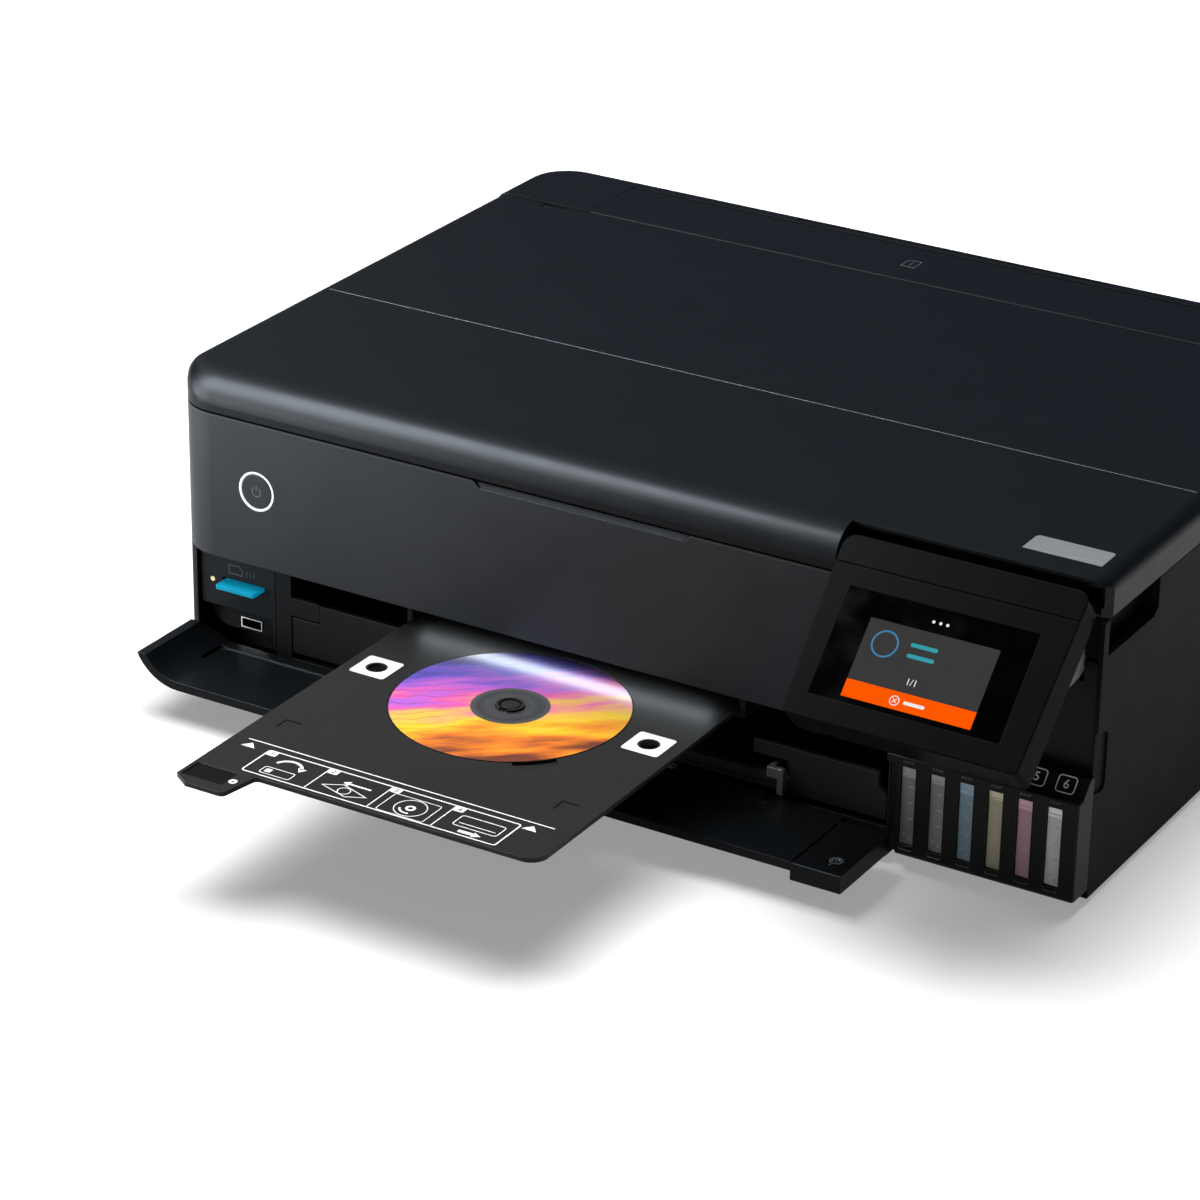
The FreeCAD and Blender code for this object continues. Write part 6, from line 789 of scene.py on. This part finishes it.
housing_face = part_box("tank_housing")[0].y * 1000
on_housing = MM @ Matrix.Translation((0, housing_face, 0)) @ FACING_FRONT
moulded_mark = moulded_plastic("moulded mark", (0.035, 0.035, 0.036), 0.3)
shape = bmesh.new()
lay_stroke(shape, [(0.8, 12.9), (0.8, 11.9), (7.2, 11.9), (7.2, 12.9)], 0.4, *housing_relief, on_housing)
for mark in range(4):
    lay_stroke(shape, [(1.4 + mark * 1.5, 58.6), (2.3 + mark * 1.5, 59.8)], 0.4, *housing_relief, on_housing)
housing_marks = set_row(shape, "housing_marks", "case", window_start, moulded_mark)

slope_run, slope_rise = 7.0, 7.4
slope = math.atan2(slope_rise, slope_run)
on_ledge = MM @ Matrix.Translation((0, -180.0, 65.1)) @ Matrix.Rotation(slope, 4, "X")
label_x = 173.4
shape = bmesh.new()
label = rounded_box(label_x, 0, 9.4, 8.4, 1.6, 5)
lay_stroke(shape, label, 0.55, *tank_relief, on_ledge, True)
tank_labels = set_row(shape, "tank_labels", "case", (0, 0, 0), white_ink)
shape = bmesh.new()
for tank in range(tank_count):
    lay_number(shape, str(tank + 1), 4.6, label_x + tank * tank_pitch, 0, *tank_relief, on_ledge)
tank_numbers = finish_piece(shape, "tank_numbers", "case", white_ink)

# Lid, scanner and rear deck.
# The lid is one wide satin shell with a groove across it. Under it lie a white foam pad, the
# glass and the scanning bar, and behind it the deck with the rear feed flap.
lid_satin = moulded_plastic("lid satin", (0.0040, 0.0053, 0.0078), 0.37, 0.5, 0.004, 0.02, 0.07)
tree = lid_satin.node_tree
roughness = tree.nodes["Principled BSDF"].inputs["Roughness"]
matter_top = fade(tree, along_axis(tree, "Z"), 0.0, 0.22, 0.1660, 0.1688)
tree.links.new(combine(tree, "ADD", roughness.links[0].from_socket, matter_top), roughness)
dress(lid_satin, "lid_cover", "rear_deck", "rear_feed_cover", "top_hinge_pins")
dress(shell_black, "paper_support", "scanner_bed")
dress(moulded_plastic("pad foam", (0.80, 0.80, 0.78), 0.7, 1.2, 0.05, 0.03), "lid_pad")


def clear_glass(name):
    """Float glass with a faint green cast and wiping marks."""
    finish, tree, surface, place = start_finish(name, 0.03)
    surface.inputs["Transmission Weight"].default_value = 0.85
    cast = speckle(tree, place, 80, 2)
    tint = colour_band(tree, cast, [(0.3, (0.86, 0.93, 0.90)), (0.7, (0.92, 0.96, 0.94))])
    tree.links.new(tint, surface.inputs["Base Color"])
    tree.links.new(fade(tree, speckle(tree, place, 30, 4), 0.02, 0.07), surface.inputs["Roughness"])
    return finish


dress(clear_glass("scanner glass"), "scanner_glass")
dress(moulded_plastic("scan bar black", (0.015, 0.015, 0.016), 0.4), "scan_bar")

# Trim of the lid.
# A near-black matt strip in the seam under the front edge is painted shade, a pale grey strip in
# the groove is a painted highlight, and the flap has a moulded mark. The lid is flat under the
# whole foil label, so the label's front rows, bent down from fold_y, lie under the lid's surface.


def brushed_foil(name):
    """Silver foil label: fine brushing along its length."""
    finish, tree, surface, place = start_finish(name, 0.5, 0.6)
    brushed = speckle(tree, place, 1.5, 3, (0.05, 3, 1))
    foil = colour_band(tree, brushed, [(0.3, (0.22, 0.23, 0.235)), (0.7, (0.31, 0.32, 0.325))])
    tree.links.new(foil, surface.inputs["Base Color"])
    relief(tree, surface, brushed, 0.004)
    return finish


# A near-black matt strip stands in the seam under the lid's front edge as painted shade.
seam_shade_finish, tree, surface, place = start_finish("seam painted shade", 0.95)
surface.inputs["Specular IOR Level"].default_value = 0.0
seam_shade_tones = [(0.3, (0.0003, 0.0003, 0.0003)), (0.8, (0.0014, 0.0014, 0.0015))]
seam_shade_speckle = colour_band(tree, speckle(tree, place, 0.5), seam_shade_tones)
tree.links.new(seam_shade_speckle, surface.inputs["Base Color"])
relief(tree, surface, speckle(tree, place, 0.3), 0.05)
body_left, body_front, corner = -261.5, -189.5, 26.0
seam_shade_in, seam_shade_end_x, seam_shade_low, seam_shade_high = 0.13, 128.0, 148.15, 149.05
bend = circle(body_left + corner, body_front + corner, corner - seam_shade_in, 14, 188, 270)
shape = bmesh.new()
lay_stroke(shape, bend + [(seam_shade_end_x, body_front + seam_shade_in)], 0.3, seam_shade_low, seam_shade_high, MM)
seam_shade_strip = finish_piece(shape, "seam_shade_strip", "lid", seam_shade_finish)

# A pale grey strip in the lid's groove is a painted highlight on the groove's edge.
highlight_end_x, highlight_y, highlight_low, highlight_high = 253.0, -53.2, 168.35, 168.95
groove_highlight_grey = moulded_plastic("groove painted highlight", (0.075, 0.090, 0.100), 0.5)
shape = bmesh.new()
lay_stroke(shape, [(-highlight_end_x, highlight_y), (highlight_end_x, highlight_y)], 0.5, highlight_low, highlight_high, MM)
groove_highlight = finish_piece(shape, "groove_highlight", "lid", groove_highlight_grey)

lid_top = 169.0
on_flap = MM @ Matrix.Translation((-8.0, 152.0, lid_top))
shape = bmesh.new()
page = [(-4, -4.5), (-4, 3), (-1.5, 5.5), (4, 5.5), (4, -4.5)]
lay_stroke(shape, page, 0.6, -0.05, 0.05, on_flap, True)
lay_stroke(shape, [(0, 3), (0, -2)], 0.6, -0.05, 0.05, on_flap)
flap_grey = moulded_plastic("flap mark", (0.05, 0.055, 0.06), 0.4)
flap_mark = finish_piece(shape, "flap_mark", "feed_cover", flap_grey)

badge_left, badge_right, badge_front, badge_back = 210.0, 251.0, -162.0, -140.5
fold_y, fold_radius, corner_cut, foil_half, rows = -156.5, 16.0, 1.2, 0.05, 12
shape = bmesh.new()
rim = []
for step in range(rows + 1):
    y = badge_front + (badge_back - badge_front) * step / rows
    drop = fold_radius - math.sqrt(fold_radius**2 - min(0.0, y - fold_y) ** 2)
    cut_in = corner_cut if step in (0, rows) else 0.0
    rim.append([(x, y, lid_top - drop) for x in (badge_left + cut_in, badge_right - cut_in)])
low, high = (
    [[shape.verts.new(Vector((x, y, z + lift)) / 1000) for x, y, z in pair] for pair in rim]
    for lift in (-foil_half, foil_half)
)
for step in range(rows):
    for near, far in ((low[step], low[step + 1]), (high[step], high[step + 1])):
        shape.faces.new((near[0], near[1], far[1], far[0]))
    for side in (0, 1):
        near, far = low[step][side], low[step + 1][side]
        shape.faces.new((near, far, high[step + 1][side], high[step][side]))
for end in (0, rows):
    shape.faces.new((low[end][0], low[end][1], high[end][1], high[end][0]))
lid_badge = finish_piece(shape, "lid_badge", "lid", brushed_foil("badge foil"))

# Tilting control panel with its screen.
# A neutral black frame tips out on two arms. Black glass fills it, and the display behind the
# glass shows a grey card with a blue ring, bars and an orange key.
panel_black = moulded_plastic(
    "panel black", (0.0062, 0.0062, 0.0063), 0.25, 0.5, 0.005, 0.05, 0.005, 4.0
)
dress(panel_black, "control_panel")


def panel_back_finish(name):
    """Black moulding with a light grey stay at its right end."""
    finish = moulded_plastic(name, (0.0125, 0.0125, 0.0130), 0.5, 0.6, 0.02, 0.1, 0.3)
    tree = finish.node_tree
    paint = tree.nodes["Principled BSDF"].inputs["Base Color"]
    at_stay = fade(tree, along_axis(tree, "X"), 0, 1, 0.2460, 0.2462)
    stay_grey = (0.30, 0.31, 0.32)
    tree.links.new(blend(tree, at_stay, paint.links[0].from_socket, stay_grey), paint)
    return finish


dress(panel_back_finish("panel back"), "panel_back")


def black_glass(name):
    """Black touch glass with faint finger marks."""
    finish, tree, surface, place = start_finish(name, 0.08)
    surface.inputs["Specular IOR Level"].default_value = 0.02
    tones = [(0.3, (0.0006, 0.0006, 0.0007)), (0.7, (0.0012, 0.0012, 0.0014))]
    depth = colour_band(tree, speckle(tree, place, 40, 2), tones)
    tree.links.new(depth, surface.inputs["Base Color"])
    tree.links.new(fade(tree, speckle(tree, place, 18, 4), 0.05, 0.14), surface.inputs["Roughness"])
    return finish


dress(black_glass("panel glass"), "panel_glass")


def display_light(name, colour):
    """Lit display: fine rows of cells, a little uneven in brightness."""
    finish, tree, surface, place = start_finish(name, 0.3)
    surface.inputs["Base Color"].default_value = (0, 0, 0, 1)
    surface.inputs["Specular IOR Level"].default_value = 0.0
    cells = speckle(tree, place, 12, 2)
    glow = colour_band(tree, cells, [(0.3, shade(colour, 0.96)), (0.7, colour)])
    tree.links.new(glow, surface.inputs["Emission Color"])
    surface.inputs["Emission Strength"].default_value = 1.0
    return finish


def show(shape, name, tone, colour):
    """Closes a drawn part of the display into a lit piece."""
    return finish_piece(shape, name, "control_panel", display_light("display " + tone, colour))


tilt = math.radians(44.6)
on_screen = MM @ Matrix(
    (
        (1, 0, 0, 0),
        (0, math.sin(tilt), -math.cos(tilt), -182.82),
        (0, math.cos(tilt), math.sin(tilt), 167.48),
        (0, 0, 0, 1),
    )
)
glass_face = -0.2
card_low, card_high = glass_face, glass_face + 0.03
on_glass = (card_low, card_high, on_screen)
on_card = (card_high, card_high + 0.03, on_screen)
card_left, card_right, card_top, bar_top, card_bottom = 159.0, 226.2, -37.9, -69.5, -78.4
shape = bmesh.new()
lay_plate(
    shape,
    [(card_left, bar_top), (card_right, bar_top), (card_right, card_top), (card_left, card_top)],
    *on_glass,
)
screen_card = show(shape, "screen_card", "grey", (0.042, 0.042, 0.042))
shape = bmesh.new()
lay_plate(
    shape,
    [(card_left, card_bottom), (card_right, card_bottom), (card_right, bar_top), (card_left, bar_top)],
    *on_glass,
)
screen_key = show(shape, "screen_key", "orange", (1.0, 0.100, 0.0))
shape = bmesh.new()
lay_stroke(shape, circle(170.5, -48.9, 6.4, 48), 0.9, *on_card, True)
screen_ring = show(shape, "screen_ring", "blue", (0.055, 0.22, 0.42))
shape = bmesh.new()
lay_plate(shape, rounded_box(190.0, -46.0, 14.0, 2.0, 0.9, 4), *on_card)
lay_plate(shape, rounded_box(190.0, -51.5, 14.0, 2.0, 0.9, 4), *on_card)
screen_lines = show(shape, "screen_lines", "cyan", (0.035, 0.34, 0.40))
shape = bmesh.new()
for dot in range(3):
    lay_plate(shape, circle(189.6 + dot * 3.6, -32.6, 0.8, 16), *on_glass)
lay_number(shape, "1/1", 3.4, 190.4, -64.0, *on_card)
lay_stroke(shape, circle(185.5, -74.2, 2.3, 32), 0.45, *on_card, True)
lay_stroke(shape, [(184.5, -75.2), (186.5, -73.2)], 0.45, *on_card)
lay_stroke(shape, [(184.5, -73.2), (186.5, -75.2)], 0.45, card_high, card_high + 0.04, on_screen)
lay_plate(shape, rounded_box(195.6, -74.1, 11.0, 1.7, 0.8, 4), *on_card)
screen_figures = show(shape, "screen_figures", "white", (0.85, 0.85, 0.85))

# Studio: pale floor, soft lamps and camera.
# The floor shows white to the eye and to gloss, and keeps the soft shadow of the printer.


def floor_finish():
    """White floor that keeps the shadow."""
    finish, tree, surface, place = start_finish("floor white", 0.9)
    surface.inputs["Specular IOR Level"].default_value = 0.0
    tones = [(0.3, (0.80, 0.80, 0.80)), (0.7, (0.82, 0.82, 0.82))]
    paper = colour_band(tree, speckle(tree, place, 900, 2), tones)
    tree.links.new(paper, surface.inputs["Base Color"])
    ray = tree.nodes.new("ShaderNodeLightPath").outputs
    seen = combine(tree, "MAXIMUM", ray["Is Camera Ray"], ray["Is Glossy Ray"])
    seen = combine(tree, "MAXIMUM", seen, ray["Is Transmission Ray"])
    far = tree.nodes.new("ShaderNodeVectorMath")
    far.operation = "LENGTH"
    tree.links.new(place, far.inputs[0])
    with_distance = fade(tree, far.outputs["Value"], 0.30, 1.0, 0.9, 2.2)
    surface.inputs["Emission Color"].default_value = (1, 1, 1, 1)
    glow = combine(tree, "MULTIPLY", seen, with_distance)
    tree.links.new(glow, surface.inputs["Emission Strength"])
    return finish


mesh = bpy.data.meshes.new("floor")
mesh.from_pydata([(-9, -9, 0), (9, -9, 0), (9, 9, 0), (-9, 9, 0)], [], [(0, 1, 2, 3)])
mesh.materials.append(floor_finish())
floor = bpy.data.objects.new("floor", mesh)
bpy.context.scene.collection.objects.link(floor)

world = bpy.data.worlds.new("studio")
bpy.context.scene.world = world
world.use_nodes = True
room = world.node_tree
backdrop = room.nodes["Background"].inputs
room_glow = 0.07
backdrop["Color"].default_value = (1, 1, 1, 1)
backdrop["Strength"].default_value = room_glow
eye = room.nodes.new("ShaderNodeLightPath").outputs["Is Camera Ray"]
room.links.new(fade(room, eye, room_glow, 1.0, 0.0, 1.0), backdrop["Strength"])


def soft_lamp(name, position, target, width, height, power):
    """A soft box that faces the target."""
    lamp = bpy.data.lights.new(name, "AREA")
    lamp.shape = "RECTANGLE"
    lamp.size = width
    lamp.size_y = height
    lamp.energy = power
    holder = bpy.data.objects.new(name, lamp)
    holder.location = position
    holder.rotation_euler = (Vector(target) - Vector(position)).to_track_quat("-Z", "Y").to_euler()
    bpy.context.scene.collection.objects.link(holder)
    return holder


soft_lamp("top_lamp", (-0.35, 0.30, 1.80), (0.0, -0.15, 0.0), 1.9, 1.5, 66).visible_glossy = False
gloss_lamps = (
    ("edge_lamp", (-0.72, -0.66, 0.84), (-0.17, -0.19, 0.160), 0.46, 1.00, 96),
    ("left_lamp", (-0.72, -0.60, 0.14), (-0.24, -0.19, 0.12), 0.60, 0.32, 17),
    ("slot_lamp", (-0.024, -0.1846, 0.0668), (-0.024, -0.1846, 0.0), 0.170, 0.010, 0.050),
    ("lid_lamp", (-1.02, 0.66, 0.62), (-0.25, -0.05, 0.17), 0.50, 0.40, 0.5),
)
for lamp_name, position, target, width, height, power in gloss_lamps:
    lamp = soft_lamp(lamp_name, position, target, width, height, power)
    lamp.visible_diffuse = False
    lamp.visible_camera = False
    lamp.data.color = (0.84, 0.93, 1.0)
camera_data = bpy.data.cameras.new("camera")
camera_data.lens = 127.714
camera_data.sensor_width = 36
camera_data.clip_end = 30
camera = bpy.data.objects.new("camera", camera_data)
around, above, roll = (math.radians(angle) for angle in (30.7301, 24.92704, 0.83682))
back = Vector((math.sin(around) * math.cos(above), -math.cos(around) * math.cos(above), math.sin(above)))
level_right = Vector((math.cos(around), math.sin(around), 0))
level_up = back.cross(level_right)
right = level_right * math.cos(roll) + level_up * math.sin(roll)
up = level_up * math.cos(roll) - level_right * math.sin(roll)
stand = Matrix((right, up, back)).transposed().to_4x4()
stand.translation = (0.970080, -1.821963, 0.983980)
camera.matrix_world = stand
bpy.context.scene.collection.objects.link(camera)
bpy.context.scene.camera = camera
bpy.context.scene.view_settings.view_transform = "Standard"
